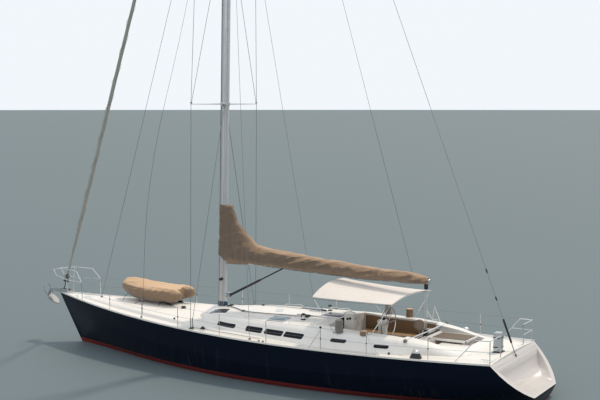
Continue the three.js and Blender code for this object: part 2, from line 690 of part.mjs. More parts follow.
const boomLength = boomPivot.x - boomEndX;
const boomRows = [
  // x, half-width, bottom, top
  [-95, 60, -60, 60],
  [-170, 85, -115, 105],
  [-2400, 85, -165, 60],
  [-boomLength + 30, 72, -300, -110],
  [-boomLength, 60, -285, -125],
];
const boomSpar = loft(boomRows.map((row) => ovalRing(...row)));
addTo(boomGroup, 'boom', join([
  boomSpar, bar([0, 0, -60], [0, 0, 60], 26, 12), box(-105, 0, -20, 20, -40, 40),
]), aluminium);
addTo(boomGroup, 'vang', cut(join([
  bar([0, 0, -vangDrop - 72], [0, 0, -vangDrop + 72], 24, 12),
  bar([0, 0, -vangDrop], [-1280, 0, -vangDrop + 650], 42, 12),
  bar([-1230, 0, -vangDrop + 625], [-2280, 0, -140], 26, 12),
]), [boomSpar.clone().translate(0, 0, -joint)]), aluminium);

const coverRows = [
  // x, half-width, bottom, top
  [-140, 130, -155, 1960],
  [-350, 175, -160, 1430],
  [-660, 215, -160, 1100],
  [-1160, 235, -165, 640],
  [-1700, 240, -175, 530],
  [-2680, 240, -215, 450],
  [-3950, 230, -270, 290],
  [-5480, 205, -330, 150],
  [-7130, 165, -345, 65],
  [-boomLength + 60, 115, -315, -60],
];
const coverHollow = [[100, 90, 114], [-2400, 90, 68], [-boomLength - 300, 90, -98]]
  .map(([x, half, top]) => mirroredRing(x, [[half, -900], [half, top]]));
addTo(boomGroup, 'sail_cover_boom', cut(loft(coverRows.map((row) => ovalRing(...row, 14))), [
  loft(coverHollow),
  bar([0, 0, -vangDrop + 20], [-2500, 0, 20], 60, 8),
]), coverCloth);

// The cover's front part wraps the mast and hangs lower aft than forward
const wrapRows = [
  // height at the mast, fall to its aft edge, half-width
  [3760, 150, 150], [4400, 0, 150], [5300, 0, 142], [5700, 0, 132],
];
const wrapAhead = mastChord / 2 + 30;
const wrapAft = 700;
const coverFront = loft(wrapRows.map(([z, fall, half]) => Array.from({ length: 16 }, (_, i) => {
  const angle = (2 * Math.PI * i) / 16;
  const [x] = onMast(z);
  const along = Math.cos(angle) * (Math.cos(angle) > 0 ? wrapAhead : wrapAft);
  return [x + along, half * Math.sin(angle), z + fall * (along / 200)];
})), flat);
const mastSleeve = loft([2900, 6100].map((z) => mastRing(0, 1, 4).map(([x, y]) => [x + onMast(z)[0], y, z])), flat);
const wrapAftEdge = boomPivot.x - 18;
add('sail_cover_mast', cut(coverFront, [
  mastSleeve, box(0, wrapAftEdge, -500, 500, 2800, 6500), box(1500, 2100, -40, 40, 2800, boomPivot.z + 95),
]), coverCloth);

// Gooseneck and vang brackets on the mast, either side of the hinge pins
const bracketRows = [
  // hinge height
  { name: 'gooseneck_bracket', z: boomPivot.z, gap: 68 },
  { name: 'vang_bracket', z: boomPivot.z - vangDrop, gap: 74 },
];
bracketRows.forEach(({ name, z, gap }) => {
  const face = onMast(z, -mastChord / 2)[0];
  const plates = [-1, 1].map((side) => (
    box(boomPivot.x - 30, face + 60, -34, 34, z + side * (gap + 8), z + side * (gap + 20))));
  const back = box(face + 60, boomPivot.x + 60, -34, 34, z - gap - 20, z + gap + 20);
  const sleeve = loft([-300, 300].map((offset) =>
    mastRing(0, 1, 1.2).map(([x, y]) => [x + onMast(z + offset)[0], y, z + offset])), flat);
  add(name, cut(join([...plates, back]), [sleeve]), stainless);
});

// Guard rails: stanchions with two lifelines a side
const railTop = 720;
const railMiddle = 380;
const pulpitFoot = 8300;
const stanchionPlaces = [6420, 4520, 2660, 740, -1190, -3240, -4850, -6880];

function railPoint(x, height) {
  const y = halfBreadth(x) - railWidth - 50;
  return [x, y, deckAt(x, y) + height];
}

const lifelines = [
  // height, aft end
  [railTop, -8310], [railMiddle, -7995],
];
const portGuard = cut(join([
  ...stanchionPlaces.map((x) => bar(railPoint(x, -20), railPoint(x, railTop + 12), 13)),
  ...lifelines.flatMap(([height, end]) => [...stanchionPlaces, end].map((x, i) => (
    bar(railPoint(i === 0 ? pulpitFoot - 25 : stanchionPlaces[i - 1], height), railPoint(x, height), 5)))),
]), [deckBlock]);
add('guardrail_port', portGuard, stainless);
add('guardrail_starboard', mirrored(portGuard), stainless);

// Bow pulpit and the two stern rails
const pulpitLeg = 9350;
const [, pulpitY, pulpitZ] = railPoint(pulpitFoot, -20);
const pulpitTop = [
  [pulpitFoot, pulpitY, pulpitZ], [8330, pulpitY + 10, 2450], [8640, 470, 2830], [9400, 310, 2860],
  [10050, 220, 2790], [10260, 90, 2700],
];
const pulpitSides = [-1, 1].flatMap((side) => {
  const at = ([x, y, z]) => [x, side * y, z];
  return [
    bar(at(railPoint(pulpitLeg, -20)), at([9415, 302, 2848]), 14),
    rail([[8335, pulpitY + 6, 2436], [9380, 262, 2440], [9900, 215, 2560], [10040, 217, 2786]].map(at), 11),
  ];
});
add('bow_pulpit', cut(join([
  rail([...pulpitTop, ...pulpitTop.slice().reverse().map(([x, y, z]) => [x, -y, z])], 15), ...pulpitSides,
]), [deckBlock]), stainless);

const sternPost = -8790;

function sternRail() {
  const at = (x, inset, height) => {
    const y = halfBreadth(x) - railWidth - inset;
    return [x, y, deckAt(x, y) + height];
  };
  const corner = at(sternPost, 60, railTop);
  const inner = [sternPost, 1050, corner[2]];
  return cut(join([
    rail([at(-7680, 50, -20), at(-8340, 50, railTop), corner, inner], 15),
    bar(corner, at(sternPost, 60, -20), 14),
    bar(inner, [sternPost, 1050, deckAt(sternPost, 1050) - 20], 14),
    rail([at(-8035, 50, railMiddle), at(sternPost, 60, railMiddle), [sternPost, 1050, corner[2] - 340]], 12),
  ]), [deckBlock]);
}

const portSternRail = sternRail();
add('stern_rail_port', portSternRail, stainless);
add('stern_rail_starboard', mirrored(portSternRail), stainless);

// Bow roller and anchor
const rollerZ = sheerZ(9700) + railHeight + 1;
const bowRoller = join([
  box(9450, 10230, -95, 95, rollerZ, rollerZ + 14),
  box(9450, 10330, -95, -83, rollerZ, rollerZ + 130),
  box(9450, 10330, 83, 95, rollerZ, rollerZ + 130),
  bar([10250, -94, rollerZ + 30], [10250, 94, rollerZ + 30], 38, 14),
]);
add('bow_roller', cut(bowRoller, [box(9200, 9830, -70, 70, rollerZ - 40, rollerZ + 200), deckBlock]), stainless);

const anchorLift = 18;
const anchorSide = new THREE.Shape([
  [10220, 95], [10420, 60], [10520, -120], [10440, -330], [10395, -330], [10440, -120], [10370, 10],
  [10200, 75], [9820, 80], [9820, 120],
].map(([x, z]) => new THREE.Vector2(x, z)));
const shank = new THREE.ExtrudeGeometry(anchorSide, { depth: 36, bevelEnabled: false })
  .rotateX(Math.PI / 2).translate(0, 18, rollerZ + anchorLift);
const fluke = loft([
  [10470, 165, -190, -150], [10330, 225, -320, -285], [10150, 200, -430, -400], [9990, 20, -520, -500],
].map(([x, half, low, high]) => mirroredRing(x, [[half, high], [half, high - 25], [0, low]])
  .map(([px, py, pz]) => [px, py, pz + rollerZ + anchorLift])));
const rollBar = [[10440, 160, -185], [10560, 215, 0], [10600, 130, 190], [10610, 0, 250]];
const rollBarPoints = [...rollBar, ...rollBar.slice(0, -1).reverse().map(([x, y, z]) => [x, -y, z])]
  .map(([x, y, z]) => [x, y, z + rollerZ + anchorLift]);
add('anchor', join([shank, fluke, rail(rollBarPoints, 14)]), stainless);

// Bimini: a light frame hinged on the coamings, with a cloth top that is arched most at its forward edge
const canopy = { fore: -2450, aft: -5350, half: 1600, edgeZ: 2950, foreCrown: 3330, aftCrown: 3085 };

function canopyZ(x, y) {
  const share = (x - canopy.aft) / (canopy.fore - canopy.aft);
  const crown = canopy.aftCrown + (canopy.foreCrown - canopy.aftCrown) * share;
  return canopy.edgeZ + (crown - canopy.edgeZ) * (1 - Math.abs(y / canopy.half) ** 2.2);
}

const hoopRows = [
  // place of the top, place and half-spread of the feet
  { top: canopy.fore - 60, foot: -3430, spread: 1900 },
  { top: canopy.aft + 60, foot: -4640, spread: 1690 },
];
const hoops = hoopRows.map(({ top, foot, spread }) => {
  const half = [
    [foot, spread, 1890], [top, canopy.half - 20, canopy.edgeZ - 60],
    ...[1250, 800, 300].map((y) => [top, y, canopyZ(top, y) - 50]),
  ];
  return rail([...half, ...half.slice().reverse().map(([x, y, z]) => [x, -y, z])], 13);
});
const sideTubes = [-1, 1].map((side) => bar(
  [canopy.aft + 60, side * (canopy.half - 20), canopy.edgeZ - 60],
  [canopy.fore - 60, side * (canopy.half - 20), canopy.edgeZ - 60], 11));
const hoopPads = [-1, 1].flatMap((side) => hoopRows.map(({ foot, spread }) => (
  bar([foot, side * spread, 1880], [foot, side * spread, 1955], 26, 10))));
add('bimini_frame', cut(join([...hoops, ...sideTubes, ...hoopPads]), [coamingBlock]), stainless);
const canopyThick = 12;
const canopyTop = (x, drop) => [0.85, 0.68, 0.45, 0.2, 0].map((part) => (
  [canopy.half * part, canopyZ(x, canopy.half * part) - drop]));
const canopyRing = (x) => mirroredRing(x, [
  [canopy.half, canopy.edgeZ - 4], [canopy.half, canopy.edgeZ + 4], ...canopyTop(x, 0),
]);
const canopyUnder = (x) => mirroredRing(x, [
  [canopy.half + 5, canopy.edgeZ - 300], [canopy.half + 5, canopy.edgeZ - 8], ...canopyTop(x, canopyThick),
]);
add('bimini_canopy', cut(
  loft([canopy.fore, canopy.aft].map(canopyRing)), [loft([canopy.fore + 9, canopy.aft - 9].map(canopyUnder))],
), whiteCloth);

// Covered tender on the foredeck, bow forward, to starboard of the centreline
const tender = { x: 4230, y: -740, heading: 0.1 };
const tenderRows = [
  // forward of its tube ends, half-width, tube radius, tube height, crown, keel
  [330, 775, 245, 2140, 2320, 1900],
  [800, 780, 245, 2145, 2450, 1780],
  [1300, 765, 245, 2160, 2530, 1735],
  [1900, 670, 240, 2205, 2610, 1760],
  [2350, 540, 225, 2280, 2645, 1850],
  [2680, 370, 195, 2330, 2620, 1980],
  [2860, 190, 150, 2345, 2550, 2130],
  [2920, 60, 50, 2345, 2440, 2260],
];
const tubeSpacing = 530;
const tubeArc = [90, 45, 0, -45, -90].map((degrees) => THREE.MathUtils.degToRad(degrees));
const tenderBody = loft(tenderRows.map(([along, half, radius, height, crown, keel]) => mirroredRing(along, [
  [0, crown],
  ...tubeArc.map((angle) => [half - radius + radius * Math.cos(angle), height + radius * Math.sin(angle)]),
  [0, keel],
])));
const tubeEnds = [-1, 1].map((side) => new THREE.LatheGeometry([
  [0, 0], [90, 8], [165, 60], [225, 190], [240, 330], [240, 500], [0, 500],
].map(([r, along]) => new THREE.Vector2(r, along)), 14).rotateZ(-Math.PI / 2).translate(0, side * tubeSpacing, 2140));
const tenderSolid = join([tenderBody, ...tubeEnds]).rotateZ(tender.heading).translate(tender.x, tender.y, 0);
add('tender', cut(tenderSolid, [deckBlock, trunkBlock]), tanCloth);

// Steering pedestal and wheel
const pedestalX = wheelHub.x + 210;
add('steering_pedestal', join([
  loft([
    [cockpit.sole + joint, 190, 150], [1300, 130, 110], [1850, 120, 100], [2060, 150, 130], [2110, 120, 100],
  ].map(([z, halfX, halfY]) => [[-1, -1], [1, -1], [1, 1], [-1, 1]].map(([sx, sy]) => (
    [pedestalX + sx * halfX, sy * halfY, z]))), flat),
]), whiteGelcoat);
const spokes = Array.from({ length: 6 }, (_, i) => {
  const angle = (i * Math.PI) / 3;
  return bar([0, 40 * Math.cos(angle), 40 * Math.sin(angle)],
    [0, wheelRadius * Math.cos(angle), wheelRadius * Math.sin(angle)], 9, 6);
});
const wheel = addTo(yacht, 'steering_wheel', join([
  new THREE.TorusGeometry(wheelRadius, 17, 6, 36).rotateY(Math.PI / 2),
  bar([-45, 0, 0], [50, 0, 0], 52, 16), ...spokes,
]), stainless);
wheel.position.set(wheelHub.x, 0, wheelHub.z);

// Winches: the two pairs on the coamings wear fitted covers
const winchRows = [
  { name: 'primary_winch', x: -3600, y: 1850, z: 1945, radius: 135, height: 420, on: coamingBlock },
  { name: 'secondary_winch', x: -4450, y: 1770, z: 1925, radius: 130, height: 150, starboardHeight: 310,
    on: coamingBlock },
  { name: 'stern_winch', x: -6410, y: 2080, radius: 190, height: 310, on: deckBlock },
  { name: 'halyard_winch', x: -1750, y: 950, z: 2010, radius: 95, height: 240, on: roofBlock },
];
const winchCloth = { primary_winch: greyCloth, secondary_winch: tanCloth };
function portWinch({ name, x, y, z, radius, on }, height) {
  const foot = (z ?? deckAt(x, y)) - 20;
  const drum = 25 + radius * 0.33;
  const profile = winchCloth[name]
    ? [[0, 0], [radius, 0], [radius * 0.97, height - 20], [radius * 0.85, height], [0, height]]
    : [[0, 0], [radius, 0], [radius, 40], [drum + 10, 110], [drum, 130], [drum, height * 0.7],
      [drum * 1.3, height * 0.85], [drum * 1.3, height * 0.93], [0, height]];
  const body = new THREE.LatheGeometry(profile.map(([r, h]) => new THREE.Vector2(r, h)), 16)
    .rotateX(Math.PI / 2).translate(x, y, foot);
  return cut(body, [on]);
}

winchRows.forEach((row) => {
  const material = winchCloth[row.name] ?? darkFitting;
  add(`${row.name}_port`, portWinch(row, row.height), material);
  add(`${row.name}_starboard`, mirrored(portWinch(row, row.starboardHeight ?? row.height)), material);
});

// Mainsheet traveller on the bridge
add('traveller', join([
  box(-5860, -5800, -1080, 1080, bridge.top + joint, bridge.top + 42),
  box(-5890, -5770, -110, 110, bridge.top + 30, bridge.top + 90),
]), darkFitting);

// Deck hatches hinged at their forward edges, and the sliding companionway hatch
const hatchPlace = { x: -920, y: 1180, z: 2003, tilt: 0.105, length: 650, width: 550, height: 34 };
const portHatch = cut(new THREE.BoxGeometry(hatchPlace.length, hatchPlace.width, hatchPlace.height * 2)
  .rotateX(-hatchPlace.tilt).translate(hatchPlace.x, hatchPlace.y, hatchPlace.z), [roofBlock]);
add('hatch_port', portHatch, smokedGlass);
add('hatch_starboard', mirrored(portHatch), smokedGlass);
add('companionway_hatch', box(-2890, -2000, -400, 400, 2078, 2108), smokedGlass);

export default yacht;
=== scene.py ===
# Sailing yacht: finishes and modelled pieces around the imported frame. Metres, +X forward, +Y port, +Z up.
import json
import math
import bpy
from mathutils import Matrix, Vector, noise

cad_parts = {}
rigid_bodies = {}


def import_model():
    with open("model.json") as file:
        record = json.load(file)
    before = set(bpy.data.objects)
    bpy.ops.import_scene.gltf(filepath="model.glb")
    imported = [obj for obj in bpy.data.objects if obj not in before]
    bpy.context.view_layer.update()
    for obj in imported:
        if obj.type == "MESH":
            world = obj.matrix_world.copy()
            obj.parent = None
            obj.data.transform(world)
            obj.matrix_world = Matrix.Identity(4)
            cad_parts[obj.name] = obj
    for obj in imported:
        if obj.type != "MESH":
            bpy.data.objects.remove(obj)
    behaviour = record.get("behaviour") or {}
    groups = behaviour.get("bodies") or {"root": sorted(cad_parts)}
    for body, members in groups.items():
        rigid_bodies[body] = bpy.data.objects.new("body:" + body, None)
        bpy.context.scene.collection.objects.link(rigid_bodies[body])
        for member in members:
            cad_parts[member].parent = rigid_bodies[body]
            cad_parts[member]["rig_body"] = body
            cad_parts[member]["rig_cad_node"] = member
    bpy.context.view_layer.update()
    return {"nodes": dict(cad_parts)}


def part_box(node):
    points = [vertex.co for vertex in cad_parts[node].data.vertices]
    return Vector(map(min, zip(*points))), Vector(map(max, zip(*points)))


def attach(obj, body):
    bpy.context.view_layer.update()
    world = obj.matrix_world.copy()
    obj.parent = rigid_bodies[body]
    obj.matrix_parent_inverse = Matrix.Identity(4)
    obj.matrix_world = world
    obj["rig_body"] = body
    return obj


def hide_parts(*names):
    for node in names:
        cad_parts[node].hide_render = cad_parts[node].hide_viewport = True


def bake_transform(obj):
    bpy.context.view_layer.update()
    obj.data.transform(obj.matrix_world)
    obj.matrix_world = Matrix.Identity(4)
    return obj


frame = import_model()
nodes = frame["nodes"]


# Camera at the photograph's place
view = {"place": (-20.685, 34.046, 9.321), "pitchDown": 0.0846, "turn": 0.5227, "lens": 68.4}


def makeCamera():
    bpy.ops.object.camera_add(location=view["place"])
    camera = bpy.context.object
    camera.name = "photo_camera"
    camera.rotation_euler = (math.pi / 2 - view["pitchDown"], 0, math.pi + view["turn"])
    camera.data.lens = view["lens"]
    camera.data.clip_end = 3000
    bpy.context.scene.camera = camera
    print("camera at", view["place"])


makeCamera()


# Floor at the waterline and soft studio light
studio = {
    "floorRadius": 1600, "floorColour": (0.105, 0.145, 0.16), "skyColour": (0.905, 0.945, 0.99),
    "skyStrength": 0.98, "sunStrength": 1.9, "sunWidth": math.radians(4), "sunWay": (0.12, 0.48, -0.87),
    "sunColour": (1.0, 0.87, 0.69),
}


def makeStudio():
    bpy.ops.mesh.primitive_circle_add(vertices=64, radius=studio["floorRadius"], fill_type="NGON")
    floor = bpy.context.object
    floor.name = "studio_floor"
    paper = bpy.data.materials.new("floor_paper")
    paper.use_nodes = True
    surface = paper.node_tree.nodes["Principled BSDF"]
    surface.inputs["Base Color"].default_value = (*studio["floorColour"], 1)
    surface.inputs["Roughness"].default_value = 0.7
    floor.data.materials.append(paper)
    world = bpy.data.worlds.new("studio_sky")
    world.use_nodes = True
    world.node_tree.nodes["Background"].inputs["Color"].default_value = (*studio["skyColour"], 1)
    world.node_tree.nodes["Background"].inputs["Strength"].default_value = studio["skyStrength"]
    bpy.context.scene.world = world
    aim = Vector(studio["sunWay"]).to_track_quat("-Z", "Y")
    bpy.ops.object.light_add(type="SUN", rotation=aim.to_euler())
    sun = bpy.context.object
    sun.name = "key_light"
    sun.data.energy = studio["sunStrength"]
    sun.data.angle = studio["sunWidth"]
    sun.data.color = studio["sunColour"]
    bpy.context.scene.view_settings.view_transform = "Standard"
    print("floor, sky and key light are in")


makeStudio()


# A socket that takes part in sums: each sign or word adds its Math node
class Wire:
    def __init__(self, finish, socket):
        self.finish = finish
        self.socket = socket

    def __rsub__(self, other):
        return self.finish.sum("SUBTRACT", other, self)

    # 0 below start, 1 above end, smooth between
    def ramp(self, start, end):
        return self.finish.add("ShaderNodeMapRange", {"interpolation_type": "SMOOTHSTEP"}, {
            "Value": self, "From Min": start, "From Max": end, "To Min": 0.0, "To Max": 1.0}, "Result")


def teach(word, operation):
    setattr(Wire, word, lambda self, other=0.0: self.finish.sum(operation, self, other))


for word, operation in (
        ("__add__", "ADD"), ("__radd__", "ADD"), ("__mul__", "MULTIPLY"), ("__rmul__", "MULTIPLY"),
        ("__sub__", "SUBTRACT"), ("__truediv__", "DIVIDE"), ("above", "GREATER_THAN"), ("below", "LESS_THAN"),
        ("higher", "MAXIMUM"), ("size", "ABSOLUTE"), ("cycle", "FLOORED_MODULO")):
    teach(word, operation)


# A colour made darker or lighter
def shade(colour, share):
    return tuple(part * share for part in colour)


# One material under way
class Finish:
    def __init__(self, name, roughness=0.5, metallic=0.0, specular=0.5):
        self.material = bpy.data.materials.new(name)
        self.material.use_nodes = True
        self.tree = self.material.node_tree
        self.surface = self.tree.nodes["Principled BSDF"]
        self.set("Roughness", roughness)
        self.set("Metallic", metallic)
        self.set("Specular IOR Level", specular)
        self.place = self.add("ShaderNodeTexCoord", None, None, "Object")

    def add(self, kind, settings=None, feeds=None, output=0):
        node = self.tree.nodes.new(kind)
        for name, value in (settings or {}).items():
            setattr(node, name, value)
        for name, value in (feeds or {}).items():
            self.feed(node.inputs[name], value)
        return Wire(self, node.outputs[output])

    def sum(self, operation, first, second):
        return self.add("ShaderNodeMath", {"operation": operation}, {0: first, 1: second})

    def feed(self, socket, value):
        if isinstance(value, Wire):
            self.tree.links.new(value.socket, socket)
        elif socket.type == "RGBA" and len(value) == 3:
            socket.default_value = (*value, 1)
        else:
            socket.default_value = value

    def set(self, name, value):
        self.feed(self.surface.inputs[name], value)

    def axes(self, vector=None):
        first = self.add("ShaderNodeSeparateXYZ", None, {"Vector": vector or self.place})
        return [Wire(self, output) for output in first.socket.node.outputs]

    def noise(self, scale, detail=3.0, stretch=(1, 1, 1), roughness=0.55):
        where = self.place
        if stretch != (1, 1, 1):
            where = self.add("ShaderNodeMapping", None, {"Vector": self.place, "Scale": stretch})
        return self.add("ShaderNodeTexNoise", None, {
            "Vector": where, "Scale": scale, "Detail": detail, "Roughness": roughness}, "Fac")

    def waves(self, scale, direction):
        return self.add("ShaderNodeTexWave", {"wave_type": "BANDS", "bands_direction": direction}, {
            "Vector": self.place, "Scale": scale, "Distortion": 0.0}, "Fac")

    def mix(self, share, first, second):
        return self.add("ShaderNodeMix", {"data_type": "RGBA"}, {0: share, 6: first, 7: second}, 2)

    def bump(self, height, distance, strength=1.0, under=None):
        feeds = {"Height": height, "Distance": distance, "Strength": strength}
        if under:
            feeds["Normal"] = under
        return self.add("ShaderNodeBump", None, feeds, "Normal")


# Hull lines that patterns and fittings follow: the plan, the sheer's heights, the deck's edge and camber
hullLines = {
    "bow": 9.9, "planLength": 19.25, "beamPlace": 0.613, "halfBeam": 2.572, "sternHalf": 1.995,
    "sheerLength": 18.734, "bowSheer": 1.853, "middleSheer": 1.4425, "sternSheer": 1.465,
    "edgeWidth": 0.056, "deckRise": 0.0123, "camber": 0.035, "paintLine": 0.17,
}


def halfBreadth(x):
    part = max(0.0, (hullLines["bow"] - x) / hullLines["planLength"])
    place = hullLines["beamPlace"]
    if part < place:
        return hullLines["halfBeam"] * (1 - (1 - part / place) ** 2)
    narrow = 1 - hullLines["sternHalf"] / hullLines["halfBeam"]
    return hullLines["halfBeam"] * (1 - narrow * ((part - place) / (1 - place)) ** 2)


def sheerHeight(x):
    part = (hullLines["bow"] - x) / hullLines["sheerLength"]
    bow, middle, stern = hullLines["bowSheer"], hullLines["middleSheer"], hullLines["sternSheer"]
    return bow * (1 - part) * (1 - 2 * part) + 4 * middle * part * (1 - part) + stern * part * (2 * part - 1)


def deckHeight(x, y):
    inner = halfBreadth(x) - hullLines["edgeWidth"]
    rise = hullLines["camber"] * inner * (1 - min(1.0, abs(y) / inner) ** 2)
    return sheerHeight(x) + hullLines["deckRise"] + rise


def halfBreadthWire(finish, x):
    part = ((hullLines["bow"] - x) / hullLines["planLength"]).higher(0.0)
    place = hullLines["beamPlace"]
    rise = 1 - part / place
    ahead = 1 - rise * rise
    fall = (part - place) / (1 - place)
    narrow = 1 - hullLines["sternHalf"] / hullLines["halfBeam"]
    behind = 1 - fall * fall * narrow
    isAft = part.above(place)
    return (ahead * (1 - isAft) + behind * isAft) * hullLines["halfBeam"]


# Finishes
def topsidesPaint():
    made = Finish("navy_topsides", roughness=0.16, specular=0.1)
    x, y, z = made.axes()
    cloud = made.noise(1.4, 4.0, (0.6, 0.6, 1.6))
    streak = made.noise(2.2, 3.0, (3.0, 1.0, 0.12))
    paint = made.mix(cloud, (0.0022, 0.0046, 0.0115), (0.0038, 0.0075, 0.018))
    salted = made.mix((streak.ramp(0.55, 0.8) * z.ramp(1.3, 0.1)) * 0.35, paint, (0.06, 0.07, 0.09))
    scum = made.mix(cloud, (0.13, 0.018, 0.017), (0.19, 0.032, 0.028))
    slime = made.mix(made.noise(5.0).ramp(0.45, 0.7), scum, (0.10, 0.02, 0.012))
    bottom = made.mix(z.ramp(-0.3, 0.1), slime, scum)
    isTop = z.above(hullLines["paintLine"])
    made.set("Base Color", made.mix(isTop, bottom, salted))
    made.set("Roughness", (1 - isTop) * 0.5 + streak * 0.12 + 0.12)
    made.set("Normal", made.bump(made.noise(45.0) * (1 - isTop), 0.004, 0.5))
    return made.material


def antifoulPaint():
    made = Finish("red_antifouling", roughness=0.7, specular=0.3)
    cloud = made.noise(2.5, 4.0)
    made.set("Base Color", made.mix(made.noise(9.0).ramp(0.5, 0.75), made.mix(
        cloud, (0.22, 0.02, 0.014), (0.34, 0.04, 0.028)), (0.10, 0.02, 0.014)))
    made.set("Normal", made.bump(made.noise(60.0), 0.004, 0.5))
    return made.material


# Cream-white gelcoat; the walked-on panels are greyer, rough and grained
def gelcoat(name, nonSkid=None, colour=(0.80, 0.775, 0.735)):
    made = Finish(name, roughness=0.3)
    dark = shade(colour, 0.93)
    cloud = made.noise(0.9, 5.0)
    grime = made.noise(3.5, 5.0, (1, 1, 0.4)).ramp(0.58, 0.85)
    base = made.mix(cloud, dark, colour)
    base = made.mix(grime * 0.35, base, (0.52, 0.49, 0.43))
    if nonSkid:
        mask = nonSkid(made)
        base = made.mix(mask * 0.8, base, shade(colour, 0.9))
        made.set("Roughness", mask * 0.42 + 0.28)
        made.set("Normal", made.bump(made.noise(420.0, 2.0) * mask, 0.0012, 0.8))
    made.set("Base Color", base)
    return made.material


# Side-deck and foredeck panels, a hand's breadth in from every edge, broken by smooth strips
def deckPanels(made):
    x, y, z = made.axes()
    side = y.size()
    edge = halfBreadthWire(made, x) - side
    band = x.cycle(1.55).ramp(0.035, 0.05) * (1 - x.cycle(1.55).ramp(1.5, 1.515))
    outer = edge.ramp(0.115, 0.125)
    gap = 1 - edge.ramp(0.36, 0.37) * (1 - edge.ramp(0.52, 0.53))
    middle = side.ramp(0.04, 0.05)
    return band * outer * gap * middle * z.above(1.3)


def roofPanels(made):
    x, y, z = made.axes()
    side = y.size()
    band = x.cycle(1.2).ramp(0.03, 0.045) * (1 - x.cycle(1.2).ramp(1.155, 1.17))
    onTop = band * z.above(1.955) * (1 - side.ramp(1.36, 1.38)) * side.ramp(0.52, 0.53)
    return onTop * (1 - x.ramp(1.6, 1.62))


def brushedMetal(name, colour, roughness, grain=(1, 1, 0.05), metallic=1.0):
    made = Finish(name, roughness=roughness, metallic=metallic)
    scratch = made.noise(60.0, 3.0, grain)
    smear = made.noise(6.0, 4.0)
    made.set("Base Color", made.mix(smear, shade(colour, 0.82), colour))
    made.set("Roughness", scratch * 0.15 + smear * 0.12 + (roughness - 0.12))
    return made.material


# Woven cloth: the share function given says where the paler colour goes, as bleaching and, on the sail cover
# and the tender, painted sunlight; clouds do where nothing is given
def canvas(name, colour, fadedAndSunlit, weave=520.0, creases=7.0, fadedAndSunlitBy=None):
    made = Finish(name, roughness=0.92, specular=0.2)
    x, y, z = made.axes()
    cloud = made.noise(1.6, 5.0)
    stain = made.noise(7.0, 4.0).ramp(0.5, 0.8)
    share = fadedAndSunlitBy(made) if fadedAndSunlitBy else cloud
    base = made.mix(share, colour, fadedAndSunlit)
    base = made.mix(stain * 0.3, base, shade(colour, 0.72))
    base = made.mix(cloud * 0.25, base, shade(fadedAndSunlit, 0.85))
    thread = made.waves(weave, "X") * 0.5 + made.waves(weave, "Z") * 0.5
    crease = made.noise(creases, 5.0, (1, 1, 1.6))
    made.set("Base Color", base)
    made.set("Sheen Weight", 0.25)
    made.set("Normal", made.bump(thread, 0.0005, 0.5, made.bump(crease, 0.045, 0.6)))
    return made.material


# How far a surface faces the sky
def skyward(made):
    return made.axes(made.add("ShaderNodeNewGeometry", None, None, "Normal"))[2]


# The sail cover's sky-facing top is painted paler as painted sunlight, with some bleaching, and the cover is
# paler, unevenly, along its foot
def coverPaintedSunAndPaleFoot(made):
    # painted sunlight: the paler colour goes where the surface faces the sky, on the boom part only
    up = skyward(made)
    x, y, z = made.axes()
    ragged = made.noise(1.5, 5.0, (1, 1, 0.4), 0.6) - 0.5
    small = made.noise(11.0, 3.0) - 0.5
    onBoom = 1 - x.ramp(0.4, 1.7)
    aboveFoot = z - x * 0.0294 - 3.53
    # paler band along the foot
    paleFoot = 1 - (aboveFoot + ragged * 0.35).ramp(0.05, 0.26)
    return ((up + ragged * 1.9 + small * 0.3).ramp(0.08, 0.5) * onBoom).higher(paleFoot * 0.5)


# Tender cover: its sky-facing top painted pale as painted sunlight, its sides left dark as painted shade
def upperPaintedSunlight(made):
    return (skyward(made) + (made.noise(2.5, 3.0) - 0.5) * 0.5).ramp(0.38, 0.92)


def glossBlack(name="black_acrylic", colour=(0.004, 0.005, 0.009), roughness=0.08, specular=0.18):
    made = Finish(name, roughness=roughness, specular=specular)
    made.set("Base Color", made.mix(made.noise(4.0), colour, shade(colour, 1.8)))
    made.set("Roughness", made.noise(9.0, 4.0) * 0.12 + roughness)
    return made.material


def blackAlloy(name="black_fitting", colour=(0.018, 0.019, 0.022), roughness=0.42):
    made = Finish(name, roughness=roughness, metallic=0.25)
    worn = made.noise(22.0, 5.0).ramp(0.62, 0.8)
    made.set("Base Color", made.mix(worn * 0.6, colour, (0.11, 0.11, 0.11)))
    made.set("Roughness", made.noise(35.0) * 0.25 + (roughness - 0.1))
    return made.material


def teak(name="teak_planks", upright=False, light=1.0, grey=0.0):
    made = Finish(name, roughness=0.6)
    x, y, z = made.axes()
    grain = made.noise(14.0, 6.0, (0.7, 9.0, 3.0))
    tone = made.noise(2.0, 2.0, (0.4, 14.0, 1.0))
    dark, pale = (0.30, 0.155, 0.055), (0.52, 0.31, 0.13)
    wood = made.mix(grain, shade(dark, light), shade(pale, light))
    wood = made.mix(tone * 0.5 + grey, wood, (0.20 * light, 0.17 * light, 0.135 * light))
    seam = (z if upright else y).cycle(0.055).below(0.004)
    made.set("Base Color", made.mix(seam, wood, (0.012, 0.011, 0.010)))
    made.set("Roughness", grain * 0.25 + 0.45)
    made.set("Normal", made.bump(grain * 0.5 - seam, 0.0015, 0.6))
    return made.material


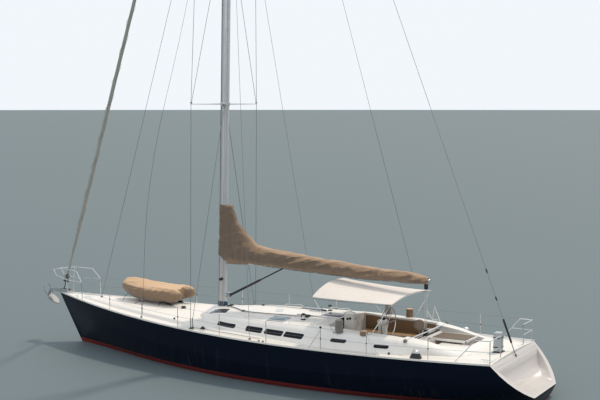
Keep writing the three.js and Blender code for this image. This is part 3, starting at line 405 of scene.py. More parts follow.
finishes = {
    "topsides": topsidesPaint(),
    "antifouling": antifoulPaint(),
    "deckWhite": gelcoat("deck_gelcoat", deckPanels),
    "roofWhite": gelcoat("roof_gelcoat", roofPanels),
    "plainWhite": gelcoat("plain_gelcoat"),
    # stern gelcoat darkened, as painted shade on the sloping stern face and the stern scoop
    "sternShadedWhite": gelcoat("stern_gelcoat", None, (0.60, 0.56, 0.53)),
    "mastPaint": brushedMetal("mast_anodising", (0.66, 0.67, 0.68), 0.42, (1, 1, 0.02), 0.55),
    "alloy": brushedMetal("spar_anodising", (0.62, 0.63, 0.64), 0.36),
    "stainless": brushedMetal("polished_stainless", (0.74, 0.75, 0.76), 0.2),
    "galvanised": brushedMetal("galvanised_steel", (0.30, 0.31, 0.32), 0.55, (1, 1, 1), 0.6),
    "rod": brushedMetal("rigging_rod", (0.23, 0.24, 0.25), 0.4),
    "bronze": brushedMetal("cast_bronze", (0.43, 0.28, 0.12), 0.42),
    "black": blackAlloy(),
    "blackGloss": glossBlack(),
    "teak": teak(),
    # upright teak darkened to 0.62, as painted shade on the bench fronts and the coaming's inner face
    "teakPaintedShade": teak("teak_panelling", True, 0.62),
    "teakGrey": teak("weathered_teak", False, 0.55, 0.4),
    "ropeWhite": canvas("white_rope", (0.50, 0.49, 0.46), (0.66, 0.65, 0.62), 300.0, 40.0),
    "ropeDark": canvas("dark_rope", (0.035, 0.045, 0.06), (0.09, 0.10, 0.12), 300.0, 40.0),
    "ropeTan": canvas("tan_rope", (0.40, 0.33, 0.23), (0.52, 0.44, 0.33), 300.0, 40.0),
    "collarCloth": canvas("collar_cloth", (0.02, 0.045, 0.085), (0.05, 0.08, 0.13), 420.0, 9.0),
    "discCover": canvas("disc_cover", (0.22, 0.17, 0.13), (0.29, 0.23, 0.18), 420.0, 9.0),
    "casePaint": gelcoat("case_shell", None, (0.39, 0.415, 0.42)),
    "enginePaint": blackAlloy("engine_enamel", (0.10, 0.115, 0.125), 0.5),
    "windowFrame": brushedMetal("pale_frame", (0.66, 0.68, 0.70), 0.45, (1, 1, 1), 0.3),
    "blueGloss": glossBlack("blue_acrylic", (0.075, 0.125, 0.165), 0.12, 0.5),
    # cover canvas: its paler colour is painted sunlight on the top, with some bleaching
    "coverCanvas": canvas("cover_canvas", (0.168, 0.124, 0.093), (0.38, 0.252, 0.160), 420.0, 6.0,
                          coverPaintedSunAndPaleFoot),
    # tan canvas: the dark colour is painted shade for the sides, the pale colour painted sunlight for the top
    "tanCanvas": canvas("tan_canvas", (0.20, 0.138, 0.092), (0.59, 0.395, 0.24), 520.0, 5.0, upperPaintedSunlight),
    "whiteCanvas": canvas("white_canvas", (0.67, 0.62, 0.575), (0.745, 0.69, 0.645), 620.0, 3.5),
    "greyCanvas": canvas("grey_canvas", (0.155, 0.14, 0.13), (0.25, 0.225, 0.205), 520.0, 9.0),
    "genoaCloth": canvas("rolled_sailcloth", (0.30, 0.30, 0.265), (0.42, 0.41, 0.365), 480.0, 8.0),
    "genoaStrip": canvas("edge_strip", (0.20, 0.19, 0.18), (0.29, 0.28, 0.27), 480.0, 8.0),
}


# Tools shared by the pieces; sides are the sign of Y and its name
sides = ((1, "port"), (-1, "starboard"))


def deselect():
    if bpy.context.object and bpy.context.object.mode != "OBJECT":
        leaveEdit()
    bpy.ops.object.select_all(action="DESELECT")


def pick(*pieces):
    deselect()
    for piece in pieces:
        piece.select_set(True)
    bpy.context.view_layer.objects.active = pieces[0]


def editAll():
    bpy.ops.object.mode_set(mode="EDIT")
    bpy.ops.mesh.select_all(action="SELECT")


def leaveEdit():
    bpy.ops.object.mode_set(mode="OBJECT")


def bakePlace():
    bpy.ops.object.transform_apply(location=True, rotation=True, scale=True)


def turnOutwards():
    editAll()
    bpy.ops.mesh.normals_make_consistent(inside=False)
    leaveEdit()


# Cuts the whole mesh in hand across, once at each spot
def slices(spots, way):
    editAll()
    for spot in spots:
        bpy.ops.mesh.select_all(action="SELECT")
        bpy.ops.mesh.bisect(plane_co=spot, plane_no=way)
    leaveEdit()


# Puts a finished piece on its body, with its place in its mesh
def settle(piece, stoodFor=(), body="hull_body"):
    pick(piece)
    bakePlace()
    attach(piece, body)
    if stoodFor:
        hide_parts(*stoodFor)


# Gives a piece its finish and smooth shading below an angle
def dressNew(piece, finish, angle=35):
    pick(piece)
    bakePlace()
    bpy.ops.object.shade_smooth_by_angle(angle=math.radians(angle))
    piece.data.materials.clear()
    piece.data.materials.append(finishes[finish])
    return piece


# A smooth copy of a frame node, its flat triangles merged into faces
def smoothCopy(node, name, finish, angle=32):
    pick(nodes[node])
    bpy.ops.object.duplicate()
    piece = bpy.context.object
    piece.name = name
    piece.parent = None
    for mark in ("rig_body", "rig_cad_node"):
        del piece[mark]
    editAll()
    bpy.ops.mesh.remove_doubles(threshold=0.0001)
    bpy.ops.mesh.dissolve_limited(angle_limit=math.radians(0.4))
    leaveEdit()
    bpy.ops.object.shade_smooth_by_angle(angle=math.radians(angle))
    piece.data.materials.clear()
    piece.data.materials.append(finishes[finish])
    return piece


def dress(node, name, finish, slot):
    settle(smoothCopy(node, name, finish), [node], nodes[node]["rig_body"])


# Pieces whose form comes straight from the frame
dressed = [
    # node, piece, finish, slot
    ("coachroof", "coachroof_skin", "roofWhite", "white_gelcoat"),
    ("cockpit_coaming", "coaming_skin", "plainWhite", "white_gelcoat"),
    ("stern_platform", "stern_liner", "sternShadedWhite", "white_gelcoat"),
    ("cockpit_liner", "cockpit_moulding", "plainWhite", "white_gelcoat"),
    ("keel", "keel_skin", "antifouling", "antifouling"),
    ("rudder", "rudder_skin", "antifouling", "antifouling"),
    ("propeller", "propeller_cast", "bronze", "bronze"),
    ("shaft_strut", "strut_cast", "bronze", "bronze"),
    ("mast", "mast_tube", "mastPaint", "spar_aluminium"),
    ("spreaders_1", "spreader_pair_1", "alloy", "spar_aluminium"),
    ("spreaders_2", "spreader_pair_2", "alloy", "spar_aluminium"),
    ("spreaders_3", "spreader_pair_3", "alloy", "spar_aluminium"),
    ("shrouds_port", "shroud_rods_port", "rod", "rod_rigging"),
    ("shrouds_starboard", "shroud_rods_starboard", "rod", "rod_rigging"),
    ("runner_port", "runner_wire_port", "rod", "rod_rigging"),
    ("runner_starboard", "runner_wire_starboard", "rod", "rod_rigging"),
    ("inner_forestay", "inner_stay_wire", "rod", "rod_rigging"),
    ("boom", "boom_tube", "alloy", "spar_aluminium"),
    ("vang", "vang_strut", "black", "spar_aluminium"),
    ("gooseneck_bracket", "gooseneck_plates", "stainless", "stainless"),
    ("vang_bracket", "vang_plates", "stainless", "stainless"),
    ("bow_pulpit", "pulpit_tube", "stainless", "stainless"),
    ("stern_rail_port", "pushpit_port", "stainless", "stainless"),
    ("stern_rail_starboard", "pushpit_starboard", "stainless", "stainless"),
    ("bow_roller", "roller_cheeks", "stainless", "stainless"),
    ("anchor", "anchor_steel", "galvanised", "stainless"),
    ("bimini_frame", "bimini_tubes", "stainless", "stainless"),
    ("steering_pedestal", "binnacle", "plainWhite", "white_gelcoat"),
    ("steering_wheel", "wheel_rim", "stainless", "stainless"),
    ("traveller", "traveller_track", "black", "dark_fitting"),
]


def dressFrame():
    for row in dressed:
        dress(*row)
    print("dressed", len(dressed), "pieces from the frame")


dressFrame()


# Hull: navy topsides; the sloping stern face and the inside take the darker stern gelcoat, painted shade
sternSlope = {"top": Vector((-8.834, 0, 1.467)), "foot": Vector((-9.89, 0, 0.4))}


def makeHull():
    hull = smoothCopy("hull", "hull_skin", "topsides", 30)
    hull.data.materials.append(finishes["sternShadedWhite"])
    along = (sternSlope["foot"] - sternSlope["top"]).normalized()
    up = Vector((-along.z, 0, along.x))
    for face in hull.data.polygons:
        x, y, z = face.center
        onSlope = abs((face.center - sternSlope["top"]).dot(up)) <= 0.004
        inside = abs(y) < halfBreadth(x) * 0.7 and z > 1.2 and x < 8
        if onSlope or inside:
            face.material_index = 1
    settle(hull, ["hull"])
    deck = smoothCopy("deck", "deck_skin", "deckWhite", 24)
    settle(deck, ["deck"])
    print("hull and deck done")


makeHull()


# A body of revolution: a disc is extruded row by row, and each row is resized to its own radius
def turned(name, rows, place, finish, sides=28, way=(0, 0, 1)):
    deselect()
    bpy.ops.mesh.primitive_circle_add(
        vertices=sides, radius=rows[0][0], fill_type="NGON", location=(0, 0, rows[0][1]))
    piece = bpy.context.object
    piece.name = name
    editAll()
    for (radius, height), (nextRadius, nextHeight) in zip(rows, rows[1:]):
        bpy.ops.mesh.extrude_region_move(TRANSFORM_OT_translate={"value": (0, 0, nextHeight - height)})
        size = nextRadius / radius
        bpy.ops.transform.resize(value=(size, size, 1))
    closeUp()
    bakePlace()
    piece.rotation_euler = Vector((0, 0, 1)).rotation_difference(Vector(way)).to_euler()
    piece.location = place
    return dressNew(piece, finish)


# In edit mode: doubles merged, open ends filled, faces turned outwards
def closeUp():
    bpy.ops.mesh.select_all(action="SELECT")
    bpy.ops.mesh.remove_doubles(threshold=0.00005)
    bpy.ops.mesh.select_all(action="DESELECT")
    bpy.ops.mesh.select_non_manifold(extend=False, use_wire=False, use_multi_face=False, use_verts=False)
    bpy.ops.mesh.fill_holes(sides=0)
    turnOutwards()


# Rods, pipes and ropes: each row of points is one run, curved runs pass smoothly through their points
def tubes(name, runs, radius, finish, curved=False, fine=1):
    line = bpy.data.curves.new(name, "CURVE")
    line.dimensions = "3D"
    line.bevel_depth = radius
    line.bevel_resolution = fine
    line.use_fill_caps = True
    line.resolution_u = 6
    for points in runs:
        spline = line.splines.new("BEZIER" if curved else "POLY")
        target = spline.bezier_points if curved else spline.points
        target.add(len(points) - 1)
        for spot, point in zip(target, points):
            if curved:
                spot.co = point
                spot.handle_left_type = spot.handle_right_type = "AUTO"
            else:
                spot.co = (*point, 1)
    piece = bpy.data.objects.new(name, line)
    bpy.context.collection.objects.link(piece)
    pick(piece)
    bpy.ops.object.convert(target="MESH")
    piece = bpy.context.object
    bpy.ops.object.mode_set(mode="EDIT")
    closeUp()
    return dressNew(piece, finish)


# A moulded block with rounded edges, its top drawn in to a share of its foot
def block(name, low, high, finish, bevel=0.006, steps=2, top=1.0):
    deselect()
    bpy.ops.mesh.primitive_cube_add(size=1, location=[(a + b) / 2 for a, b in zip(low, high)])
    piece = bpy.context.object
    piece.name = name
    piece.scale = [b - a for a, b in zip(low, high)]
    bpy.ops.object.transform_apply(location=False, rotation=False, scale=True)
    for corner in piece.data.vertices:
        if corner.co.z > 0:
            corner.co.x *= top
            corner.co.y *= top
    editAll()
    bpy.ops.mesh.bevel(offset=bevel, segments=steps, affect="EDGES")
    leaveEdit()
    return dressNew(piece, finish)


def joined(name, pieces):
    pick(*pieces)
    bpy.ops.object.join()
    piece = bpy.context.object
    piece.name = name
    return piece


# The same piece on the starboard side
def mirrored(piece, name):
    pick(piece)
    bpy.ops.object.duplicate()
    twin = bpy.context.object
    twin.name = name
    twin.scale.y = -1
    bakePlace()
    turnOutwards()
    return twin


# Settles a port piece and its twin to starboard
def settleBoth(piece):
    twin = mirrored(piece, piece.name.replace("port", "starboard"))
    settle(piece)
    settle(twin)


def apply(piece, kind, **values):
    pick(piece)
    modifier = piece.modifiers.new(kind.lower(), kind)
    for name, value in values.items():
        setattr(modifier, name, value)
    bpy.ops.object.modifier_apply(modifier=modifier.name)


# Height of a piece's first surface below a point
def landing(name, x, y, start=3.0):
    found, place, normal, face = bpy.data.objects[name].ray_cast(Vector((x, y, start)), Vector((0, 0, -1)))
    return place.z if found else 0.0


# Cabin windows: dark acrylic in thin pale frames, on both sides
windowStyle = {"corner": 0.05, "glassProud": 0.012, "frameProud": 0.006, "frameWidth": 0.016, "cuts": 7}
frontStyle = {"corner": 0.03, "proud": 0.010, "along": "Z", "cuts": 7, "crossCuts": 9}
windowRows = [
    # fore and aft end of the foot, foot height, top height, how far the top stands aft, what carries it
    (1.505, 0.640, 1.592, 1.728, 0.050, "coachroof_skin"),
    (0.150, -0.550, 1.568, 1.742, 0.045, "coachroof_skin"),
    (-0.650, -1.405, 1.568, 1.740, 0.070, "coachroof_skin"),
    (-1.475, -2.240, 1.572, 1.744, 0.090, "coachroof_skin"),
    (-3.350, -3.905, 1.634, 1.742, 0.040, "coaming_skin"),
    (-4.860, -5.365, 1.583, 1.682, 0.030, "coaming_skin"),
]


# A plate with four rounded corners, laid on a curved surface along Y or Z
plate = {"buried": 0.01, "edge": 0.003, "cornerSteps": 5}


def laidPlate(name, corners, target, finish, proud, corner, along="Y", grow=0.0, cuts=0, crossCuts=0):
    deselect()
    bpy.ops.mesh.primitive_plane_add(size=2)
    piece = bpy.context.object
    piece.name = name
    corners = [Vector(spot) for spot in corners]
    middle = sum(corners, Vector()) / 4
    for vertex, spot in zip(sorted(piece.data.vertices, key=lambda v: math.atan2(v.co.y, v.co.x)), corners):
        away = spot - middle
        vertex.co = middle + away * (1 + grow / away.length)
    editAll()
    bpy.ops.mesh.bevel(offset=corner + grow * 0.6, segments=plate["cornerSteps"], affect="VERTICES")
    for count, first, last in ((cuts, *corners[:2]), (crossCuts, *corners[1:3])):
        slices([first.lerp(last, (i + 1) / (count + 1)) for i in range(count)], last - first)
    apply(piece, "SHRINKWRAP", wrap_method="PROJECT", target=bpy.data.objects[target],
          use_project_x=False, use_project_y=along == "Y", use_project_z=along == "Z",
          use_negative_direction=True, use_positive_direction=True)
    turnOutwards()
    normal = piece.data.polygons[0].normal
    if (normal.y if along == "Y" else normal.z) < 0:
        piece.data.flip_normals()
    thick = proud + plate["buried"]
    apply(piece, "SOLIDIFY", thickness=thick, offset=1 - 2 * plate["buried"] / thick, use_even_offset=True)
    apply(piece, "BEVEL", width=min(plate["edge"], proud * 0.4), segments=2, limit_method="ANGLE",
          angle_limit=math.radians(50))
    return dressNew(piece, finish, 30)


def makeWindows():
    style = windowStyle
    for i, (fore, aft, foot, top, lean, target) in enumerate(windowRows):
        corners = [(aft, 4, foot), (fore, 4, foot), (fore - lean, 4, top), (aft - lean, 4, top)]
        plates = []
        for name, finish, proud, grow, slot in (
                ("window_glass", "blackGloss", style["glassProud"], 0.0, "smoked_acrylic"),
                ("window_frame", "windowFrame", style["frameProud"], style["frameWidth"], "stainless")):
            plates.append((laidPlate(f"{name}_{i + 1}_port", corners, target, finish, proud, style["corner"],
                                     grow=grow, cuts=style["cuts"]), slot))
        for piece, slot in plates:
            settleBoth(piece)
    print("windows on both sides:", 2 * len(windowRows))


# The two panes of the front window, on the slope ahead of the mast
frontPanes = {
    "dark": [(1.42, 0.93), (1.52, 0.48), (2.00, 0.57), (1.97, 0.95)],
    "pale": [(1.985, 0.95), (2.02, 0.60), (2.07, 0.66), (2.13, 0.93)],
}


def makeFrontPanes():
    for name, finish in (("dark", "blackGloss"), ("pale", "blueGloss")):
        corners = [(x, y, 4) for x, y in frontPanes[name]]
        pane = laidPlate(f"front_window_{name}_port", corners, "coachroof_skin", finish, **frontStyle)
        settleBoth(pane)


makeWindows()
makeFrontPanes()


# Cloth run on a closed padded shape: it swells a little, and no point moves further than the cap
def clothPass(piece, voxel, pressure=3.0, grow=0.0, cap=0.02, steps=20):
    apply(piece, "REMESH", mode="VOXEL", voxel_size=voxel, use_smooth_shade=True)
    start = [vertex.co.copy() for vertex in piece.data.vertices]
    pick(piece)
    cloth = piece.modifiers.new("cloth", "CLOTH")
    cloth.settings.use_pressure = True
    cloth.settings.uniform_pressure_force = pressure
    cloth.settings.shrink_min = -grow
    cloth.settings.quality = 5
    cloth.settings.mass = 0.4
    cloth.settings.effector_weights.gravity = 0
    cloth.point_cache.frame_start = 1
    cloth.point_cache.frame_end = steps
    for step in range(1, steps + 1):
        bpy.context.scene.frame_set(step)
    bpy.ops.object.modifier_apply(modifier=cloth.name)
    bpy.context.scene.frame_set(1)
    for vertex, old in zip(piece.data.vertices, start):
        moved = vertex.co - old
        if moved.length > cap:
            vertex.co = old + moved * (cap / moved.length)


# Moves each point along its normal by a height worked out from its place
def sculpt(piece, height):
    moves = [vertex.normal * height(vertex.co, vertex.normal) for vertex in piece.data.vertices]
    for vertex, move in zip(piece.data.vertices, moves):
        vertex.co += move


# Smooth noise between -1 and 1
def wave(x, y, z, seed=0.0):
    return noise.noise(Vector((x, y, z + 17.3 * seed)))


# Sharp along its crests, round in its hollows
def ridge(x, y, z):
    return 1 - 3 * abs(wave(x, y, z, 4))


# Main sail cover: one cloth from the mast along the boom, laced forward and hooked along its foot
cover = {
    "voxel": 0.026, "cap": 0.03, "foldHeight": 0.030, "foldPitch": 7.5, "creaseHeight": 0.014,
    "bridge": (1.60, 1.92), "bridgeHalf": 0.132, "bridgeFoot": 3.535, "bridgeTop": 5.69,
    "lean": 0.115, "leanAbove": 5, "leanAft": 1.75,
    "skirt": ((1.02, -0.135, 3.53), (1.80, 0.135, 3.88)), "narrowAft": 1.4, "narrow": 0.82, "lift": 0.02,
    "start": (1.95, 0, 4.4), "end": (1.45, 0, 4.4),
}


def makeSailCover():
    boomPart = smoothCopy("sail_cover_boom", "sail_cover", "coverCanvas")
    mastPart = smoothCopy("sail_cover_mast", "cover_front", "coverCanvas")
    aft, fore = cover["bridge"]
    link = block("cover_link", (aft, -cover["bridgeHalf"], cover["bridgeFoot"]),
                 (fore, cover["bridgeHalf"], cover["bridgeTop"]), "coverCanvas", 0.02)
    for vertex in link.data.vertices:
        if vertex.co.z > cover["leanAbove"] and vertex.co.x < cover["leanAft"]:
            vertex.co.x += cover["lean"]
    skirt = block("cover_skirt", *cover["skirt"], "coverCanvas", 0.02)
    for vertex in skirt.data.vertices:
        if vertex.co.x < cover["narrowAft"]:
            vertex.co.y *= cover["narrow"]
            vertex.co.z += cover["lift"]
    piece = joined("sail_cover", [boomPart, mastPart, link, skirt])
    clothPass(piece, cover["voxel"], pressure=1.2, grow=0.02, cap=cover["cap"])
    apply(piece, "SMOOTH", factor=0.5, iterations=5)

    # Upright folds by the mast, creases pulled down and aft from it, long shallow ones along the boom
    def fold(place, normal):
        side = abs(normal.y)
        nearMast = max(0.0, min(1.0, (place.x + 0.6) / 1.8))
        across, along = (place.x - place.z) * 0.7, (place.x + place.z) * 0.7
        upright = wave(place.x * cover["foldPitch"], normal.y, place.z * 0.55)
        pulled = ridge(across * 3.4, along * 0.7, normal.y)
        lying = ridge(place.x * 0.9 + place.z * 0.8, place.z * 4.2 + place.x * 1.1, normal.y)
        small = wave(place.x * 6.0, normal.y, place.z * 7.0, 2)
        height = nearMast * side * (cover["foldHeight"] * upright + cover["creaseHeight"] * 1.5 * pulled)
        return height + (1 - nearMast * 0.6) * cover["creaseHeight"] * 1.5 * lying + 0.006 * small - 0.014

    sculpt(piece, fold)
    dressNew(piece, "coverCanvas", 80)
    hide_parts("sail_cover_boom", "sail_cover_mast")
    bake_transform(piece)
    print("sail cover:", len(piece.data.vertices), "points")


# Tender under its cover, with the seam round the tube, the ridge seam and the lashings to the deck
tenderCover = {
    "voxel": 0.03, "cap": 0.02, "crease": 0.019, "place": Vector((4.23, -0.74, 0)), "heading": 0.1,
    "seam": 2.34,
    # lashings: place along, half width there, upper and lower height on the cloth
    "lashings": [(0.75, 0.80, 1.95, 1.83), (1.75, 0.80, 1.95, 1.83), (2.45, 0.56, 2.08, 1.93)],
    # chocks: place along, half width there, height of the top
    "chocks": [(0.62, 0.52, 1.80), (1.9, 0.40, 1.79)], "chockHalf": (0.16, 0.05),
}


def alongTender(place):
    away = place - tenderCover["place"]
    cosine, sine = math.cos(tenderCover["heading"]), math.sin(tenderCover["heading"])
    return (away.x * cosine + away.y * sine, -away.x * sine + away.y * cosine)


# Creases that run up from the lashings at the waist
def ridgeLine(along, across, height):
    near = math.exp(-((along - 0.9) / 0.75) ** 2)
    return near * ridge(along * 2.2 + height * 2.4, across * 1.3, height * 0.6) * 0.8


def makeTender():
    piece = smoothCopy("tender", "tender_cover", "tanCanvas")
    clothPass(piece, tenderCover["voxel"], pressure=2.0, grow=0.015, cap=tenderCover["cap"])
    apply(piece, "SMOOTH", factor=0.6, iterations=8)

    def crease(place, normal):
        along, across = alongTender(place)
        tight = wave(along * 1.1 + across * 2.5, across * 5.0, place.z * 3.0)
        pulled = wave(along * 5.0, across * 1.5, place.z * 1.2, 3) * max(0.0, 1 - abs(along - 0.6) / 1.2)
        seam = -0.006 if abs(place.z - tenderCover["seam"]) < 0.018 and normal.z < 0.75 else 0.0
        middle = 0.006 if abs(across) < 0.03 and normal.z > 0.5 else 0.0
        taut = ridgeLine(along, across, place.z)
        return tenderCover["crease"] * (tight + 0.8 * pulled + taut) + seam + middle - 0.010

    sculpt(piece, crease)
    dressNew(piece, "tanCanvas", 80)
    settle(piece, ["tender"])
    turn = Matrix.Rotation(tenderCover["heading"], 4, "Z")

    def spot(along, across, height):
        place = tenderCover["place"] + (turn @ Vector((along, across, 0)))
        return (place.x, place.y, height)

    straps = []
    for along, outer, high, low in tenderCover["lashings"]:
        for side in (-1, 1):
            x, y, height = spot(along + 0.06, side * (outer + 0.06), 0)
            straps.append([spot(along, side * (outer - 0.20), high), spot(along + 0.03, side * outer, low),
                           (x, y, landing("deck_skin", x, y) + 0.002)])
    settle(tubes("tender_lashings", straps, 0.008, "black"))
    chocks = []
    halfX, halfY = tenderCover["chockHalf"]
    for along, half, top in tenderCover["chocks"]:
        for side in (-1, 1):
            x, y, height = spot(along, side * half * 0.8, 0)
            chocks.append(block("chock", (x - halfX, y - halfY, landing("deck_skin", x, y) + 0.001),
                                (x + halfX, y + halfY, top), "black", 0.012, 2, 0.8))
    settle(joined("tender_chocks", chocks))
    print("tender:", len(piece.data.vertices), "points")


# Bimini top: a cloth sheet over the two hoops, hemmed all round, dipping a little between its fixings
canopy = {
    "fore": -2.45, "aft": -5.35, "half": 1.6, "edge": 2.95, "foreCrown": 3.33, "aftCrown": 3.085,
    "across": 64, "along": 56, "thick": 0.003, "dip": 0.016, "hem": 0.012,
    "hemSteps": 24, "inset": 0.006, "scallop": 0.012, "hollow": 0.03,
}


def canopyHeight(x, y):
    share = (x - canopy["aft"]) / (canopy["fore"] - canopy["aft"])
    crown = canopy["aftCrown"] + (canopy["foreCrown"] - canopy["aftCrown"]) * share
    return canopy["edge"] + (crown - canopy["edge"]) * (1 - abs(y / canopy["half"]) ** 2.2)


# A point of the cloth: u runs from aft to fore, v from starboard to port, both -1 to 1; its hem lies flat
def canopySpot(u, v, isHem=False):
    middle = (canopy["fore"] + canopy["aft"]) / 2
    reach = (canopy["fore"] - canopy["aft"]) / 2 - canopy["inset"]
    x, y = middle + u * reach, v * (canopy["half"] - canopy["inset"])
    slack = (1 - u * u) * (1 - 0.35 * v * v) * canopy["dip"]
    scallop = canopy["scallop"] * abs(v) ** 8 * (1 - u * u)
    hollow = canopy["hollow"] * u * (1 - v * v)
    height = canopyHeight(x, y) - 0.005 - slack
    if not isHem:
        hollow *= abs(u) ** 6
        broad, edge = wave(x * 2.4, y * 2.4, 0.0, 5), wave(x * 9.0, y * 1.2, 0.0, 6)
        height += 0.004 * broad + 0.003 * edge * abs(v) ** 3
    return (x - hollow, y - scallop * v, height)


def makeCanopy():
    deselect()
    bpy.ops.mesh.primitive_grid_add(x_subdivisions=canopy["along"], y_subdivisions=canopy["across"], size=2)
    sheet = bpy.context.object
    sheet.name = "bimini_top"
    for vertex in sheet.data.vertices:
        vertex.co = canopySpot(vertex.co.x, vertex.co.y)
    turnOutwards()
    if sheet.data.polygons[0].normal.z < 0:
        sheet.data.flip_normals()
    flat = sum(face.area for face in sheet.data.polygons)
    apply(sheet, "SOLIDIFY", thickness=canopy["thick"], offset=0)
    dressNew(sheet, "whiteCanvas", 60)
    settle(sheet, ["bimini_canopy"])
    steps = [-1 + 2 * (i + 0.5) / canopy["hemSteps"] for i in range(canopy["hemSteps"])]
    edge = [(1, part) for part in steps] + [(-part, 1) for part in steps]
    edge += [(-u, -v) for u, v in edge]
    run = [canopySpot(u, v, True) for u, v in edge]
    hem = tubes("bimini_hem", [run + run[:1]], canopy["hem"], "whiteCanvas")
    settle(hem)
    flat * 1.004
    print("bimini top:", round(flat, 2), "square metres")


# Winch covers: sewn bags with a gathered foot
coverRows = [
    # node, piece, finish, slot
    ("primary_winch_port", "winch_cover_primary_port", "greyCanvas", "grey_canvas"),
    ("primary_winch_starboard", "winch_cover_primary_starboard", "greyCanvas", "grey_canvas"),
    ("secondary_winch_port", "winch_cover_secondary_port", "tanCanvas", "tan_canvas"),
    ("secondary_winch_starboard", "winch_cover_secondary_starboard", "tanCanvas", "tan_canvas"),
]


def makeWinchCovers():
    for i, (node, name, finish, slot) in enumerate(coverRows):
        low, high = (Vector(corner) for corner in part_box(node))
        middle = (low + high) / 2
        height = high.z - low.z
        piece = smoothCopy(node, name, finish)
        clothPass(piece, 0.009, pressure=3.0, grow=0.03, cap=0.008)
        apply(piece, "SMOOTH", factor=0.6, iterations=3)

        def gather(place, normal):
            angle = math.atan2(place.y - middle.y, place.x - middle.x)
            up = (place.z - low.z) / height
            cord = -0.010 * math.exp(-((up - 0.16) / 0.05) ** 2)
            pleat = 0.006 * math.sin(angle * 17 + 1.5 * math.sin(angle * 3 + i)) * max(0.0, 1 - up * 1.6)
            soft = 0.007 * wave(math.cos(angle) * 1.8, math.sin(angle) * 1.8, up * 2.5, i)
            grain = 0.003 * wave(place.x * 14, place.y * 14, 0, i)
            return (cord + pleat + soft) * (1 - abs(normal.z)) - 0.003 + grain

        sculpt(piece, gather)
        apply(piece, "SUBSURF", levels=1, render_levels=1)
        dressNew(piece, finish, 80)
        settle(piece, [node])
    print("winch covers:", len(coverRows))


# Furled genoa: rolled cloth with the dark edge strip winding up it
genoa = {
    "foot": Vector((9.74, 0, 1.902)), "top": Vector((1.825, 0, 25.84)), "turnHeight": 1.15, "ripple": 0.003,
    "firstCut": 0.8, "cutPitch": 0.2, "cuts": 118, "rolled": (0.9, 23.5),
    "stripFoot": 1.0, "stripPitch": 0.14, "stripPoints": 160, "stripTurn": 0.93, "stripOut": 0.004,
    # radius of the roll at heights along the stay
    "sizes": [(0.76, 0.03), (1.5, 0.042), (3.3, 0.078), (7.0, 0.092), (14.0, 0.080), (21.0, 0.052),
              (23.6, 0.024)],
}


def makeGenoa():
    piece = smoothCopy("furled_genoa", "genoa_roll", "genoaCloth", 60)
    way = (genoa["top"] - genoa["foot"]).normalized()
    cuts = [genoa["firstCut"] + i * genoa["cutPitch"] for i in range(1, genoa["cuts"])]
    slices([genoa["foot"] + way * along for along in cuts], way)
    side = Vector((0, 1, 0))
    across = way.cross(side)

    def lap(place, normal):
        away = place - genoa["foot"]
        along = away.dot(way)
        angle = math.atan2(away.dot(side), away.dot(across))
        turn = (angle / (2 * math.pi) + along / genoa["turnHeight"]) % 1
        if not genoa["rolled"][0] <= along <= genoa["rolled"][1]:
            return 0.0
        return genoa["ripple"] * (turn - 0.5) * 2 + 0.004 * wave(turn * 3, along * 1.6, 0, 7)

    sculpt(piece, lap)
    dressNew(piece, "genoaCloth", 60)
    settle(piece, ["furled_genoa"])
    run = []
    for i in range(genoa["stripPoints"]):
        along = genoa["stripFoot"] + i * genoa["stripPitch"]
        angle = 2 * math.pi * (genoa["stripTurn"] - along / genoa["turnHeight"])
        size = genoaSize(along) + genoa["stripOut"]
        run.append(genoa["foot"] + way * along + (across * math.cos(angle) + side * math.sin(angle)) * size)
    settle(tubes("genoa_edge_strip", [run], 0.0045, "genoaStrip", curved=True))
    print("furled genoa:", len(piece.data.vertices), "points")


def genoaSize(along):
    rows = genoa["sizes"]
    for (start, first), (end, last) in zip(rows, rows[1:]):
        if along <= end:
            return first + (last - first) * max(0.0, along - start) / (end - start)
    return rows[-1][1]


makeSailCover()
makeTender()
makeCanopy()
makeWinchCovers()
makeGenoa()


# Guard rails: stanchions on flanged bases with two thin lifelines a side and braces at the gates
rails = {
    "posts": [6.42, 4.52, 2.66, 0.74, -1.19, -3.24, -4.85, -6.88], "tube": 0.0125, "wire": 0.0036,
    "inboard": 0.098, "lines": [(0.72, -8.305), (0.38, -7.99)], "start": 8.28,
    "braces": [(-3.24, 0.45), (-4.85, -0.42)], "postTop": 0.728, "braceTop": 0.66, "capFoot": 0.718,
    "knobHeight": 0.745,
    "base": [(0.042, 0), (0.042, 0.008), (0.026, 0.014), (0.019, 0.02), (0.018, 0.06)],
    "clip": [(0.0145, -0.022), (0.021, -0.016), (0.021, 0.016), (0.0145, 0.022)],
    "knob": [(0.02, -0.03), (0.04, -0.018), (0.044, 0.004), (0.03, 0.03), (0.012, 0.04)],
    "cap": [(0.014, 0), (0.017, 0.004), (0.017, 0.010), (0.008, 0.015)],
}


def railSpot(x, height, side=1):
    y = halfBreadth(x) - rails["inboard"]
    return (x, side * y, deckHeight(x, y) + height)


def railFittings(part, places, height, side, finish, facets):
    return [turned(part, rails[part], railSpot(x, height, side), finish, facets) for x in places]


